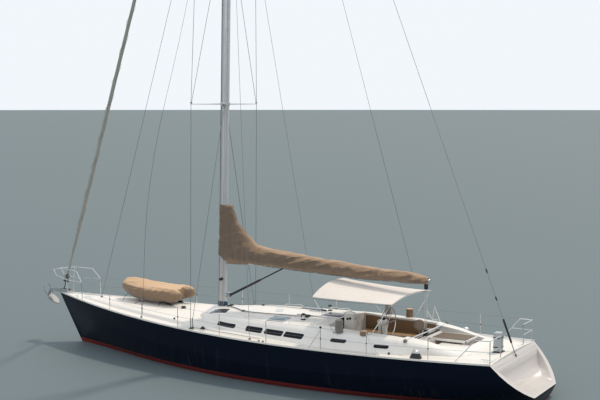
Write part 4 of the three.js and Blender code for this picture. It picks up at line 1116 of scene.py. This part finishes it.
def makeLifelines():
    for side, name in sides:
        posts = [[railSpot(x, -0.002, side), railSpot(x, rails["postTop"], side)] for x in rails["posts"]]
        posts += [[railSpot(x, rails["braceTop"], side), railSpot(x + reach, 0.0, side)]
                  for x, reach in rails["braces"]]
        pieces = [tubes("posts", posts, rails["tube"], "stainless", fine=2)]
        feet = rails["posts"] + [x + reach for x, reach in rails["braces"]]
        pieces += railFittings("base", feet, -0.001, side, "stainless", 14)
        clips = railFittings("clip", rails["posts"], rails["lines"][1][0], side, "black", 12)
        clips += railFittings("knob", [rails["braces"][0][0]], rails["knobHeight"], side, "black", 16)
        settle(joined(f"rail_clips_{name}", clips))
        pieces += railFittings("cap", rails["posts"], rails["capFoot"], side, "stainless", 12)
        settle(joined(f"stanchions_{name}", pieces), [f"guardrail_{name}"])
        runs = [[railSpot(x, height, side) for x in [rails["start"]] + rails["posts"] + [end]]
                for height, end in rails["lines"]]
        settle(tubes(f"lifelines_{name}", runs, rails["wire"], "rod"))
    print("guard rails done")


# Furler drum between its two plates, with the furling line wound on it
def makeFurler():
    way = genoa["top"] - genoa["foot"]
    drum = turned("furler_plates", [
        (0.016, 0), (0.016, 0.42), (0.04, 0.43), (0.104, 0.44), (0.108, 0.452), (0.104, 0.465), (0.06, 0.475),
        (0.06, 0.645), (0.104, 0.655), (0.108, 0.668), (0.104, 0.68), (0.042, 0.70), (0.03, 0.748)],
        genoa["foot"], "black", 28, way)
    settle(drum, ["furler_drum"])
    line = turned("furler_line", [
        (0.062, 0.49), (0.080, 0.505), (0.086, 0.53), (0.081, 0.555), (0.087, 0.58), (0.080, 0.605),
        (0.062, 0.62)],
        genoa["foot"], "greyCanvas", 24, way)
    settle(line)


# Bare winches: wide-footed ones at the stern, self-tailing ones on the roof
sternWinch = {
    "cone": [(0.188, 0), (0.190, 0.030), (0.168, 0.09), (0.130, 0.150), (0.122, 0.17)],
    "dome": [(0.110, 0.168), (0.113, 0.185), (0.104, 0.22), (0.080, 0.25), (0.046, 0.27), (0.02, 0.275)],
}
roofWinch = {
    "foot": [(0.094, 0), (0.094, 0.012), (0.070, 0.022), (0.064, 0.045)],
    "drum": [(0.062, 0.044), (0.052, 0.075), (0.049, 0.11), (0.054, 0.15), (0.070, 0.163)],
    "jaws": [(0.074, 0.162), (0.074, 0.172), (0.056, 0.180), (0.056, 0.186), (0.074, 0.194), (0.074, 0.204),
             (0.050, 0.214), (0.030, 0.222)],
}


# Where a winch stands: the middle of the frame's node, on a skin, let into it a little
def winchFoot(node, skin, sunk):
    low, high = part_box(node)
    x, y = (low[0] + high[0]) / 2, (low[1] + high[1]) / 2
    return (x, y, landing(skin, x, y) - sunk)


def makeWinches():
    for side, name in sides:
        node = f"stern_winch_{name}"
        foot = winchFoot(node, "deck_skin", 0.012)
        cone = turned(f"stern_winch_cone_{name}", sternWinch["cone"], foot, "black", 36)
        dome = turned(f"stern_winch_top_{name}", sternWinch["dome"], foot, "alloy", 32)
        settle(cone, [node])
        settle(dome, [node])
        node = f"halyard_winch_{name}"
        foot = winchFoot(node, "coachroof_skin", 0.004)
        for part, finish, slot in (("foot", "black", "dark_fitting"), ("drum", "stainless", "stainless"),
                                   ("jaws", "black", "dark_fitting")):
            piece = turned(f"halyard_winch_{part}_{name}", roofWinch[part], foot, finish)
            settle(piece, [node])
    print("winches done")


# Deck hatches: a pale alloy rim round blue acrylic, hinges forward, two catches aft
hatch = {
    "x": -0.92, "y": 1.18, "z": 2.003, "tilt": 0.105, "half": (0.325, 0.275), "catches": 0.14, "hinges": 0.17,
}
companionway = {
    "rim": [(-2.89, -0.40, 2.079), (-2.0, 0.40, 2.099)],
    "pane": [(-2.82, -0.33, 2.094), (-2.07, 0.33, 2.107)],
    "railOut": 0.43, "railHalf": 0.022, "railTop": 2.092, "railAlong": (-2.88, -1.9, -1.2),
}


def makeHatches():
    halfX, halfY = hatch["half"]
    for side, name in sides:
        place = Matrix.Translation((hatch["x"], side * hatch["y"], hatch["z"]))
        turn = place @ Matrix.Rotation(-side * hatch["tilt"], 4, "X")
        rim = block("rim", (-halfX, -halfY, 0.006), (halfX, halfY, 0.024), "windowFrame", 0.007, 3)
        catches = [block("catch", (-halfX + 0.012, y - 0.03, 0.022), (-halfX + 0.045, y + 0.03, 0.033),
                         "black", 0.003) for y in (-hatch["catches"], hatch["catches"])]
        pane = block(f"hatch_pane_{name}", (-halfX + 0.05, -halfY + 0.045, 0.02),
                     (halfX - 0.03, halfY - 0.045, 0.029), "blueGloss", 0.004)
        seat = block(f"hatch_seat_{name}", (-halfX - 0.012, -halfY - 0.012, -0.012),
                     (halfX + 0.006, halfY + 0.012, 0.0045), "alloy", 0.004)
        hinges = [block("hinge", (halfX - 0.028, y - 0.035, 0.004), (halfX - 0.002, y + 0.035, 0.0055),
                        "alloy", 0.0005, 1) for y in (-hatch["hinges"], hatch["hinges"])]
        lid = joined(f"hatch_rim_{name}", [rim] + hinges)
        held = joined(f"hatch_catches_{name}", catches)
        for piece in (lid, held, pane, seat):
            piece.matrix_world = turn @ piece.matrix_world
        body = f"hatch_{name}_body"
        settle(lid, [f"hatch_{name}"], body)
        settle(pane, [f"hatch_{name}"], body)
        settle(held, body=body)
        settle(seat)
    for part, finish, bevel, steps, slot in (("rim", "plainWhite", 0.008, 3, "white_gelcoat"),
                                             ("pane", "blackGloss", 0.005, 2, "smoked_acrylic")):
        piece = block(f"companionway_{part}", *companionway[part], finish, bevel, steps)
        settle(piece, ["companionway_hatch"], "companionway_body")
    aft, middle, fore = companionway["railAlong"]
    half = companionway["railHalf"]
    for side, name in sides:
        y = side * companionway["railOut"]
        foot = min(landing("coachroof_skin", x, y) for x in (aft, middle, fore)) - 0.02
        rail = block(f"slide_rail_{name}", (aft, y - half, foot), (fore, y + half, companionway["railTop"]),
                     "alloy", 0.004)
        settle(rail)
    print("hatches done")


# Cockpit woodwork: teak on the sole, the benches, their fronts and the coaming's inner face; the fronts and
# the inner face take teak darkened as painted shade
teakBoards = {
    # low corner, high corner
    "sole_teak": ((-5.665, -0.752, 1.051), (-2.945, 0.752, 1.060)),
    "aft_sole_teak": ((-7.40, -1.115, 1.201), (-5.975, 1.115, 1.209)),
}
benchBoards = {
    # inner and outer side to port, foot, top, finish
    "bench_teak": (0.772, 1.345, 1.451, 1.461, "teak"),
    "bench_front": (0.753, 0.7595, 1.075, 1.44, "teakPaintedShade"),
}
bench = {"aft": -5.345, "fore": -3.045}
coamingBoard = {
    "middle": -4.305, "half": 1.345, "side": 1.3495, "foot": 1.462, "below": 0.055, "thick": 0.006,
}


def makeTeak():
    for name, (low, high) in teakBoards.items():
        settle(block(name, low, high, "teak", 0.002))
    for side, name in sides:
        for part, (inner, outer, foot, top, finish) in benchBoards.items():
            right, left = sorted((side * inner, side * outer))
            low, high = (bench["aft"], right, foot), (bench["fore"], left, top)
            settle(block(f"{part}_{name}", low, high, finish, 0.002))
    b = coamingBoard
    for side, name in sides:
        deselect()
        bpy.ops.mesh.primitive_grid_add(x_subdivisions=27, y_subdivisions=3, size=2)
        board = bpy.context.object
        board.name = f"coaming_teak_{name}"
        for vertex in board.data.vertices:
            x = b["middle"] + vertex.co.x * b["half"]
            top = landing("coaming_skin", x, side * 1.40) - b["below"]
            share = (vertex.co.y + 1) / 2
            vertex.co = (x, side * b["side"], b["foot"] + (top - b["foot"]) * share)
        apply(board, "SOLIDIFY", thickness=b["thick"], offset=0)
        dressNew(board, "teakPaintedShade", 30)
        settle(board)
    print("woodwork done")


# Slatted seat over the aft well, in a white frame on two white panels
aftSeat = {
    "fore": -5.99, "aft": -7.27, "inner": 0.05, "outer": -1.02, "top": 1.69, "floor": 1.209,
    "slats": 12, "gap": 0.014, "slatDepth": 0.022, "rimDepth": 0.075, "rimUp": 0.004,
}


def makeAftSeat():
    s = aftSeat
    fore, aft, inner, outer, top = s["fore"], s["aft"], s["inner"], s["outer"], s["top"]
    width = (inner - outer - 0.05) / s["slats"]
    slats = []
    for i in range(s["slats"]):
        y = outer + 0.05 + i * width
        slats.append(block("slat", (aft + 0.03, y, top - s["slatDepth"]),
                           (fore - 0.03, y + width - s["gap"], top), "teakGrey", 0.003, 1))
    settle(joined("aft_seat_slats", slats))
    rim = [(aft, fore, inner - 0.03, inner), (aft, fore, outer, outer + 0.035),
           (aft, aft + 0.04, outer, inner), (fore - 0.04, fore, outer, inner)]
    frames = [block("edge", (back, right, top - s["rimDepth"]), (front, left, top + s["rimUp"]),
                    "plainWhite", 0.008, 3) for back, front, right, left in rim]
    frames.append(block("slab", (aft + 0.01, outer + 0.01, top - 0.07),
                        (fore - 0.01, inner - 0.01, top - 0.035), "plainWhite", 0.004))
    for x in (fore - 0.16, aft + 0.12):
        frames.append(block("panel", (x, outer + 0.05, s["floor"]), (x + 0.04, inner - 0.06, top - 0.06),
                            "plainWhite"))
    settle(joined("aft_seat_frame", frames))


# Instrument console at the forward end of the cockpit; the wheel's axle and the compass on its pedestal
console = {
    "x": -3.18, "y": 0.26, "halfX": 0.20, "halfY": 0.115, "foot": 1.058, "top": 2.24,
    "dials": [(-3.13, 2.08), (-3.225, 2.105)], "dialOut": 0.100,
    "dial": [(0.041, 0), (0.041, 0.014), (0.036, 0.018), (0.032, 0.012)],
    # half of the grip's arch: distance from the middle, height
    "arch": [(0.17, 2.06), (0.23, 2.12), (0.23, 2.22), (0.16, 2.29)],
}
helm = {
    "axle": [(-4.47, 0, 2.01), (-4.38, 0, 2.01)], "compassPlace": (-4.27, 0, 2.108),
    "compass": [(0.085, 0), (0.085, 0.03), (0.078, 0.055), (0.058, 0.085), (0.03, 0.10), (0.01, 0.105)],
}


def makeConsole():
    c = console
    body = block("console_body", (c["x"] - c["halfX"], c["y"] - c["halfY"], c["foot"]),
                 (c["x"] + c["halfX"], c["y"] + c["halfY"], c["top"]), "plainWhite", 0.02, 4, 0.88)
    settle(body)
    dials = [turned("dial", c["dial"], (x, c["y"] + c["dialOut"], z), "blackGloss", 28, (0, 1, 0.02))
             for x, z in c["dials"]]
    settle(joined("console_dials", dials))
    arch = [(-out, z) for out, z in c["arch"]] + c["arch"][::-1]
    grip = tubes("console_grip", [[(c["x"] + along, c["y"], z) for along, z in arch]], 0.0125, "stainless",
                 curved=True, fine=2)
    settle(grip)
    settle(tubes("wheel_axle", [helm["axle"]], 0.02, "stainless", fine=2))
    settle(turned("compass", helm["compass"], helm["compassPlace"], "blackGloss", 32))


# Lines, blocks and clutches on the coachroof, its hand rails and the flush hatch ahead of them
roofLines = {
    "port": [(1.905, 0.06), (1.27, 0.42), (0.85, 0.68), (0.53, 0.725), (0.04, 0.72), (-0.475, 0.70),
             (-0.98, 0.68), (-1.46, 0.645)],
    "clutch": (-1.47, -1.78), "clutchRows": [0.50, 0.575, 0.65],
    "blocks": [(0.85, 0.66), (1.83, 0.12), (1.83, -0.02)],
    "block": [(0.05, 0), (0.052, 0.012), (0.040, 0.018), (0.040, 0.032), (0.052, 0.038), (0.044, 0.05)],
    "pitch": 0.022, "lift": 0.024, "rope": 0.0055,
}
handRails = {
    # fore end, aft end, distance from the centreline
    "rows": [(0.35, -0.45, 1.34), (-1.45, -2.35, 1.42)], "tube": 0.011,
    # share of the length, height
    "rise": [(0, 0.0), (0.08, 0.06), (0.5, 0.065), (0.92, 0.06), (1, 0.0)],
}
flushHatch = [(-0.52, 0.24, 4), (-0.24, -0.30, 4), (-0.03, -0.17, 4), (-0.24, 0.31, 4)]


# A spot on the coachroof, raised by a height
def onRoof(x, y, up=0.0):
    return (x, y, landing("coachroof_skin", x, y) + up)


def makeRoofGear():
    fore, aft = roofLines["clutch"]
    for side, name in sides:
        runs = []
        for i in range(3):
            shift = (i - 1) * roofLines["pitch"]
            runs.append([onRoof(x, side * (y + shift * (1 + max(0.0, j - 5) * 1.15)), roofLines["lift"])
                         for j, (x, y) in enumerate(roofLines["port"])])
        lines = tubes(f"led_halyards_{name}", runs, roofLines["rope"], "ropeDark", curved=True)
        settle(lines)
        gear = []
        for row in roofLines["clutchRows"]:
            x, y, ground = onRoof(fore, side * row)
            gear.append(block("clutch", (aft, y - 0.026, ground - 0.012), (fore, y + 0.026, ground + 0.052),
                              "black", 0.008, 2, 0.86))
            gear.append(block("handle", (aft + 0.03, y - 0.014, ground + 0.048),
                              (fore - 0.05, y + 0.014, ground + 0.066), "black", 0.004))
        gear += [turned("block", roofLines["block"], onRoof(x, side * y, -0.002), "black", 20)
                 for x, y in roofLines["blocks"]]
        settle(joined(f"clutches_{name}", gear))
        rows = [[onRoof(start + (end - start) * part, side * out, up) for part, up in handRails["rise"]]
                for start, end, out in handRails["rows"]]
        rail = tubes(f"hand_rails_{name}", rows, handRails["tube"], "stainless", curved=True, fine=2)
        settle(rail)
    patch = laidPlate("flush_hatch", flushHatch, "coachroof_skin", "windowFrame", 0.007, 0.03, along="Z",
                      cuts=3)
    settle(patch)
    print("roof gear done")


# Tracks, cars, cleats, padeyes and leads on deck
deckGear = {
    "cleats": [(-8.55, 1.70, 0.04), (1.55, 2.24, -0.05), (8.75, 0.34, -0.30)],
    "padeyes": [(-0.90, 2.45), (-1.06, 2.45), (-5.46, 2.02), (4.62, 1.62), (3.2, 1.55)],
    "plate": [(0.035, 0), (0.035, 0.005), (0.012, 0.007)],
    "block": [(0.028, 0.006), (0.034, 0.02), (0.034, 0.05), (0.02, 0.068)],
    "track": [(2.25, 1.84), (-0.7, 2.05)], "car": 0.17, "carHalf": (0.09, 0.035),
    "sheave": [(0.045, 0), (0.05, 0.01), (0.05, 0.03), (0.045, 0.04)],
    "ventPlace": (4.0, -0.12),
    "vent": [(0.09, 0), (0.095, 0.02), (0.06, 0.03), (0.06, 0.045), (0.10, 0.055), (0.09, 0.075),
             (0.03, 0.09)],
}
cleatForm = {
    # place along, height
    "horn": [(-0.15, 0.055), (-0.07, 0.062), (0.07, 0.062), (0.15, 0.055)], "hornSize": 0.012,
    "legs": [(-0.045, 0.045), (-0.004, 0.06)], "legSize": 0.013,
}


# A spot on the deck, raised by a height
def onDeck(x, y, up=0.0):
    return (x, y, landing("deck_skin", x, y) + up)


def cleat(x, y, ground, heading):
    turn = Matrix.Rotation(heading, 3, "Z")

    def at(along, up):
        spot = turn @ Vector((along, 0, 0))
        return (x + spot.x, y + spot.y, ground + up)

    horn = tubes("horn", [[at(*spot) for spot in cleatForm["horn"]]], cleatForm["hornSize"], "stainless",
                 curved=True, fine=2)
    alongs, heights = cleatForm["legs"]
    runs = [[at(along, up) for up in heights] for along in alongs]
    legs = tubes("legs", runs, cleatForm["legSize"], "stainless", fine=2)
    return [horn, legs]


def makeDeckGear():
    (foreX, foreY), (aftX, aftY) = deckGear["track"]
    lengthX, lengthY = aftX - foreX, aftY - foreY
    for side, name in sides:
        bright, dark = [], []
        for x, y, heading in deckGear["cleats"]:
            bright += cleat(*onDeck(x, side * y), side * heading)
        for x, y in deckGear["padeyes"]:
            foot = onDeck(x, side * y, -0.001)
            bright.append(turned("plate", deckGear["plate"], foot, "stainless", 16))
            dark.append(turned("block", deckGear["block"], foot, "black", 16))
        points = [onDeck(foreX + lengthX * i / 8, side * (foreY + lengthY * i / 8), 0.008) for i in range(9)]
        bright.append(tubes("track", [points], 0.010, "alloy"))
        share = deckGear["car"]
        x, y, ground = onDeck(foreX + lengthX * share, side * (foreY + lengthY * share))
        halfX, halfY = deckGear["carHalf"]
        dark.append(block("car", (x - halfX, y - halfY, ground + 0.002),
                          (x + halfX, y + halfY, ground + 0.055), "black", 0.01, 2, 0.8))
        dark.append(turned("sheave", deckGear["sheave"], (x, y, ground + 0.05), "black", 20))
        if side == 1:
            dark.append(turned("vent", deckGear["vent"], onDeck(*deckGear["ventPlace"], -0.003), "black"))
        settle(joined(f"deck_fittings_{name}", bright))
        settle(joined(f"deck_tracks_{name}", dark))
    print("deck gear done")


# Gear aft of the helm: sheet beams, corner seats, locker, covered disc, struts and the raft's case
aftGear = {
    "beam": {"x": -5.875, "half": 1.70, "z": 1.86, "legs": 1.60, "innerLegs": 1.09, "innerFoot": 1.695},
    "lower": {"start": (-6.06, 1.45, 1.80), "end": (-5.94, 0.30, 1.76), "legs": (1.40, 0.33),
              "endFoot": 1.69},
    "end": [(0.03, -0.05), (0.055, -0.045), (0.06, 0), (0.055, 0.045), (0.03, 0.05)],
    "lowerEnd": [(0.015, -0.03), (0.028, -0.028), (0.03, 0.02), (0.018, 0.03)],
    # aft, fore, inner and outer side to port, foot, top
    "corner": (-5.664, -5.355, 0.735, 1.345, 1.055, 1.715),
    "locker": [(-7.415, 0.07, 1.208), (-6.43, 1.118, 1.575)],
    "discPlace": (-5.21, -0.9, 1.85), "discWay": (-0.45, 0.85, 0.15), "stalkPlace": (-5.21, -0.9, 1.459),
    "disc": [(0.10, -0.06), (0.17, -0.055), (0.195, -0.025), (0.20, 0), (0.195, 0.025), (0.17, 0.055),
             (0.10, 0.06)],
    "stalk": [(0.06, 0), (0.06, 0.01), (0.026, 0.02), (0.024, 0.22)],
    "strutSide": -1.62, "strutFeet": (-5.36, -5.66), "strutTop": (-5.44, 2.40),
    "strutBar": (-5.38, -5.57, 1.95), "raft": (-8.46, 0.35),
}


# A leg from the coaming's skin up to a height
def onCoaming(x, y, z):
    return [(x, y, landing("coaming_skin", x, y, z) - 0.01), (x, y, z)]


def makeAftGear():
    g, beam, lower = aftGear, aftGear["beam"], aftGear["lower"]
    x, z = beam["x"], beam["z"]
    (startX, startY, startZ), (endX, endY, endZ) = lower["start"], lower["end"]
    outer, inner = lower["legs"]
    legs = [onCoaming(x, y, z) for y in (beam["legs"], -beam["legs"])]
    legs += [[(x, y, beam["innerFoot"]), (x, y, z)] for y in (beam["innerLegs"], -beam["innerLegs"])]
    legs += [onCoaming(startX, outer, startZ), [(endX, inner, lower["endFoot"]), (endX, inner, endZ)]]
    tips = [(x, beam["half"], z), (x, -beam["half"], z)]
    pieces = [tubes("part", runs, radius, "stainless", fine=2) for runs, radius in (
        ([tips], 0.024), ([[lower["start"], lower["end"]]], 0.018), (legs, 0.014))]
    settle(joined("sheet_beams", pieces))
    ends = [turned("end", g["end"], place, "greyCanvas", 24, (0, 1, 0)) for place in tips]
    ends.append(turned("end", g["lowerEnd"], lower["start"], "greyCanvas", 20, (0, 1, 0)))
    settle(joined("beam_ends", ends))
    aft, fore, inner, outer, foot, top = g["corner"]
    for side, name in sides:
        right, left = sorted((side * inner, side * outer))
        corner = block(f"corner_seat_{name}", (aft, right, foot), (fore, left, top), "casePaint", 0.02, 3)
        settle(corner)
    settle(block("well_locker", *g["locker"], "plainWhite", 0.03, 4))
    settle(turned("covered_disc", g["disc"], g["discPlace"], "discCover", 36, g["discWay"]))
    settle(turned("disc_stalk", g["stalk"], g["stalkPlace"], "stainless", 20))
    y = g["strutSide"]
    top = (g["strutTop"][0], y, g["strutTop"][1])
    runs = [[(foot, y, landing("coaming_skin", foot, y)), top] for foot in g["strutFeet"]]
    barFore, barAft, height = g["strutBar"]
    runs.append([(barFore, y, height), (barAft, y, height)])
    settle(tubes("coaming_struts", runs, 0.016, "plainWhite", fine=2))
    ground = onDeck(*g["raft"])[2]
    case = block("raft_case", (-8.58, 0.20, ground + 0.02), (-8.34, 0.50, ground + 0.63), "casePaint", 0.035,
                 4)
    settle(case)
    straps = [block("strap", (-8.586, 0.194, ground + up), (-8.334, 0.506, ground + up + 0.035), "black",
                    0.01) for up in (0.15, 0.45)]
    straps.append(block("cradle", (-8.62, 0.16, ground - 0.01), (-8.30, 0.54, ground + 0.03), "black", 0.01))
    settle(joined("raft_straps", straps))
    print("aft gear done")


# Mainsheet: four parts between a block under the boom's end and one on the traveller
mainsheet = {
    "x": -5.83, "low": 1.80, "high": 3.34, "start": (-5.83, 0, 1.86), "end": (-5.83, 0, 3.20), "cuts": 12,
    "half": (0.055, 0.012), "rope": 0.006,
}


# The cheeks of one block: how far apart they stand, how far they reach below and above a height
def cheeks(height, apart, below, above):
    halfX, halfY = mainsheet["half"]
    x = mainsheet["x"]
    return [block("cheek", (x - halfX, y - halfY, height - below), (x + halfX, y + halfY, height + above),
                  "black", 0.012, 3) for y in (-apart, 0, apart)]


def makeMainsheet():
    m = mainsheet
    runs = [[(m["x"] + dx, dy, m["low"] + 0.08), (m["x"] + dx * 0.8, dy * 0.8, m["high"] - 0.05)]
            for dx in (-0.03, 0.03) for dy in (-0.025, 0.025)]
    ropes = tubes("mainsheet_parts", runs, m["rope"], "ropeWhite")
    pick(ropes)
    cuts = m["cuts"]
    slices([(m["x"], 0, m["low"] + (m["high"] - m["low"]) * i / cuts) for i in range(1, cuts)], (0, 0, 1))
    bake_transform(ropes)
    settle(joined("sheet_block_low", cheeks(m["low"], 0.04, 0.03, 0.12)))
    settle(joined("sheet_block_high", cheeks(m["high"], 0.035, 0.08, 0.09)), body="boom_body")


# Mast: the collar at its foot, halyards up its sides, two small winches and the masthead gear
mastLine = {
    "foot": 2.158, "rake": 0.02, "footHeight": 2.036, "chordHalf": 0.17, "widthHalf": 0.095, "top": 27.64,
}
mastGear = {
    "collar": [(0.215, 0), (0.22, 0.02), (0.20, 0.07), (0.186, 0.13), (0.18, 0.15)], "collarFlat": 0.60,
    # halyards: fore-and-aft place on the mast's side, finish, head height
    "halyards": [(0.13, "ropeDark", 20.2), (0.155, "ropeWhite", 20.0), (0.05, "ropeWhite", 15.7),
                 (-0.04, "ropeTan", 9.0), (-0.10, "ropeWhite", 20.1)],
    "halyard": 0.0065, "winchHeight": 3.0,
    "winch": [(0.06, 0), (0.06, 0.02), (0.045, 0.04), (0.040, 0.08), (0.048, 0.11), (0.052, 0.12),
              (0.03, 0.135)],
    "lamp": [(0.035, 0), (0.035, 0.02), (0.03, 0.03), (0.03, 0.09), (0.02, 0.10)], "lampBelow": 0.17,
    "liftRope": 0.005, "liftKnee": (-1.9, 0, 15.5), "liftFoot": (-5.35, 0, 3.70), "liftCuts": (3.9, 24),
    "poleLift": [(4.1, 1.7, 6.5), (3.2, 0.75, 12.5)], "polePost": 4.52, "poleTop": 19.8,
}


def mastX(z):
    return mastLine["foot"] - math.tan(mastLine["rake"]) * (z - mastLine["footHeight"])


def makeHalyards():
    lines = {"ropeWhite": [], "ropeDark": [], "ropeTan": []}
    for side in (-1, 1):
        for ahead, finish, top in mastGear["halyards"]:
            across = math.sqrt(max(0.0, 1 - (ahead / mastLine["chordHalf"]) ** 2))
            out = mastLine["widthHalf"] * across + 0.008
            points = [(mastX(z) + ahead, side * out, z) for z in (2.2, 6.0, 12.0, top)]
            lines[finish].append([(mastX(2.1) + ahead * 1.15, side * (out + 0.10), 2.06)] + points)
    for finish, runs in lines.items():
        settle(tubes(f"mast_{finish}", runs, mastGear["halyard"], finish))


def makeMastGear():
    g = mastGear
    collar = turned("mast_collar", g["collar"], (mastX(2.05), 0, 2.03), "collarCloth", 40)
    collar.scale.y = g["collarFlat"]
    settle(collar)
    makeHalyards()
    for side, name in sides:
        base = (mastX(g["winchHeight"]), side * (mastLine["widthHalf"] - 0.004), g["winchHeight"])
        settle(turned(f"mast_winch_{name}", g["winch"], base, "black", 24, (0, side, 0)))
    top = mastLine["top"]
    x, height = mastX(top), top - g["lampBelow"]
    gear = [tubes("arm", [[(x + 0.05, 0, height), (x + 0.26, 0, height)]], 0.012, "black"),
            turned("lamp", g["lamp"], (x + 0.25, 0, top - 0.165), "black", 20)]
    settle(joined("masthead_gear", gear))
    run = [(mastX(27.3) - 0.5, 0, 27.45), g["liftKnee"], g["liftFoot"]]
    lift = tubes("topping_lift", [run], g["liftRope"], "ropeDark")
    pick(lift)
    first, count = g["liftCuts"]
    slices([(0, 0, first + i) for i in range(1, count)], (0, 0, 1))
    mastX(27.3) - 0.5
    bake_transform(lift)
    run = [railSpot(g["polePost"], 0.02), *g["poleLift"], (mastX(g["poleTop"]) + 0.165, 0.03, g["poleTop"])]
    settle(tubes("pole_lift", [run], g["liftRope"], "ropeDark", curved=True))
    print("mast gear done")


# The anchor is held between the roller's cheeks by a pin
anchorPin = [(10.05, -0.105, 2.0), (10.05, 0.105, 2.0)]


def makeAnchorPin():
    settle(tubes("anchor_pin", [anchorPin], 0.010, "stainless", fine=2))


# Small dark hooks and a lacing along the foot of the sail cover, hung from the cloth's own hem
coverHooks = {"count": 46, "first": 0.35, "pitch": 0.133, "reach": 0.035, "hook": 0.011, "lace": 0.006}


def makeCoverHooks():
    h = coverHooks
    cloth = [tuple(vertex.co) for vertex in bpy.data.objects["sail_cover"].data.vertices if vertex.co.x < 0.7]
    hooks, laces = [], []
    for side in (-1, 1):
        lace = []
        for i in range(h["count"]):
            x = h["first"] - i * h["pitch"]
            z, y = min((z, y) for at, y, z in cloth if abs(at - x) < h["reach"] and side * y > 0.055)
            hooks.append([(x, y, z + 0.02), (x, y, z - 0.012)])
            lace += [(x, y, z - 0.004), (x - 0.066, y, z - 0.018)]
        laces.append(lace[:-1])
    pieces = [tubes("hooks", hooks, h["hook"], "black"), tubes("laces", laces, h["lace"], "black")]
    settle(joined("cover_hooks", pieces), body="boom_body")


# Backstay: a grey rod with its black tensioner and two dark insulators
backstay = {
    "low": 1.70, "high": 2.62, "insulators": (3.16, 4.02), "foot": Vector((-8.925, 0, 1.378)), "head": 27.41,
    "bead": [(0.012, -0.07), (0.022, -0.05), (0.026, 0), (0.022, 0.05), (0.012, 0.07)],
}


def makeBackstay():
    rod = smoothCopy("backstay", "backstay_rod", "rod")
    rod.data.materials.append(finishes["black"])
    for face in rod.data.polygons:
        if backstay["low"] < face.center.z < backstay["high"] and face.area < 0.05:
            face.material_index = 1
    settle(rod, ["backstay"])
    foot, head = backstay["foot"], backstay["head"]
    way = Vector((mastX(head) - 0.56, 0, head)) - foot
    beads = [turned("insulator", backstay["bead"], foot + way * ((z - foot.z) / way.z), "black", 14, way)
             for z in backstay["insulators"]]
    settle(joined("backstay_insulators", beads))


dress("engine", "engine_block", "enginePaint", "engine_paint")
makeBackstay()
makeLifelines()
makeFurler()
makeWinches()
makeHatches()
makeTeak()
makeAftSeat()
makeConsole()
makeRoofGear()
makeDeckGear()
makeAftGear()
makeMainsheet()
makeMastGear()
makeAnchorPin()
makeCoverHooks()
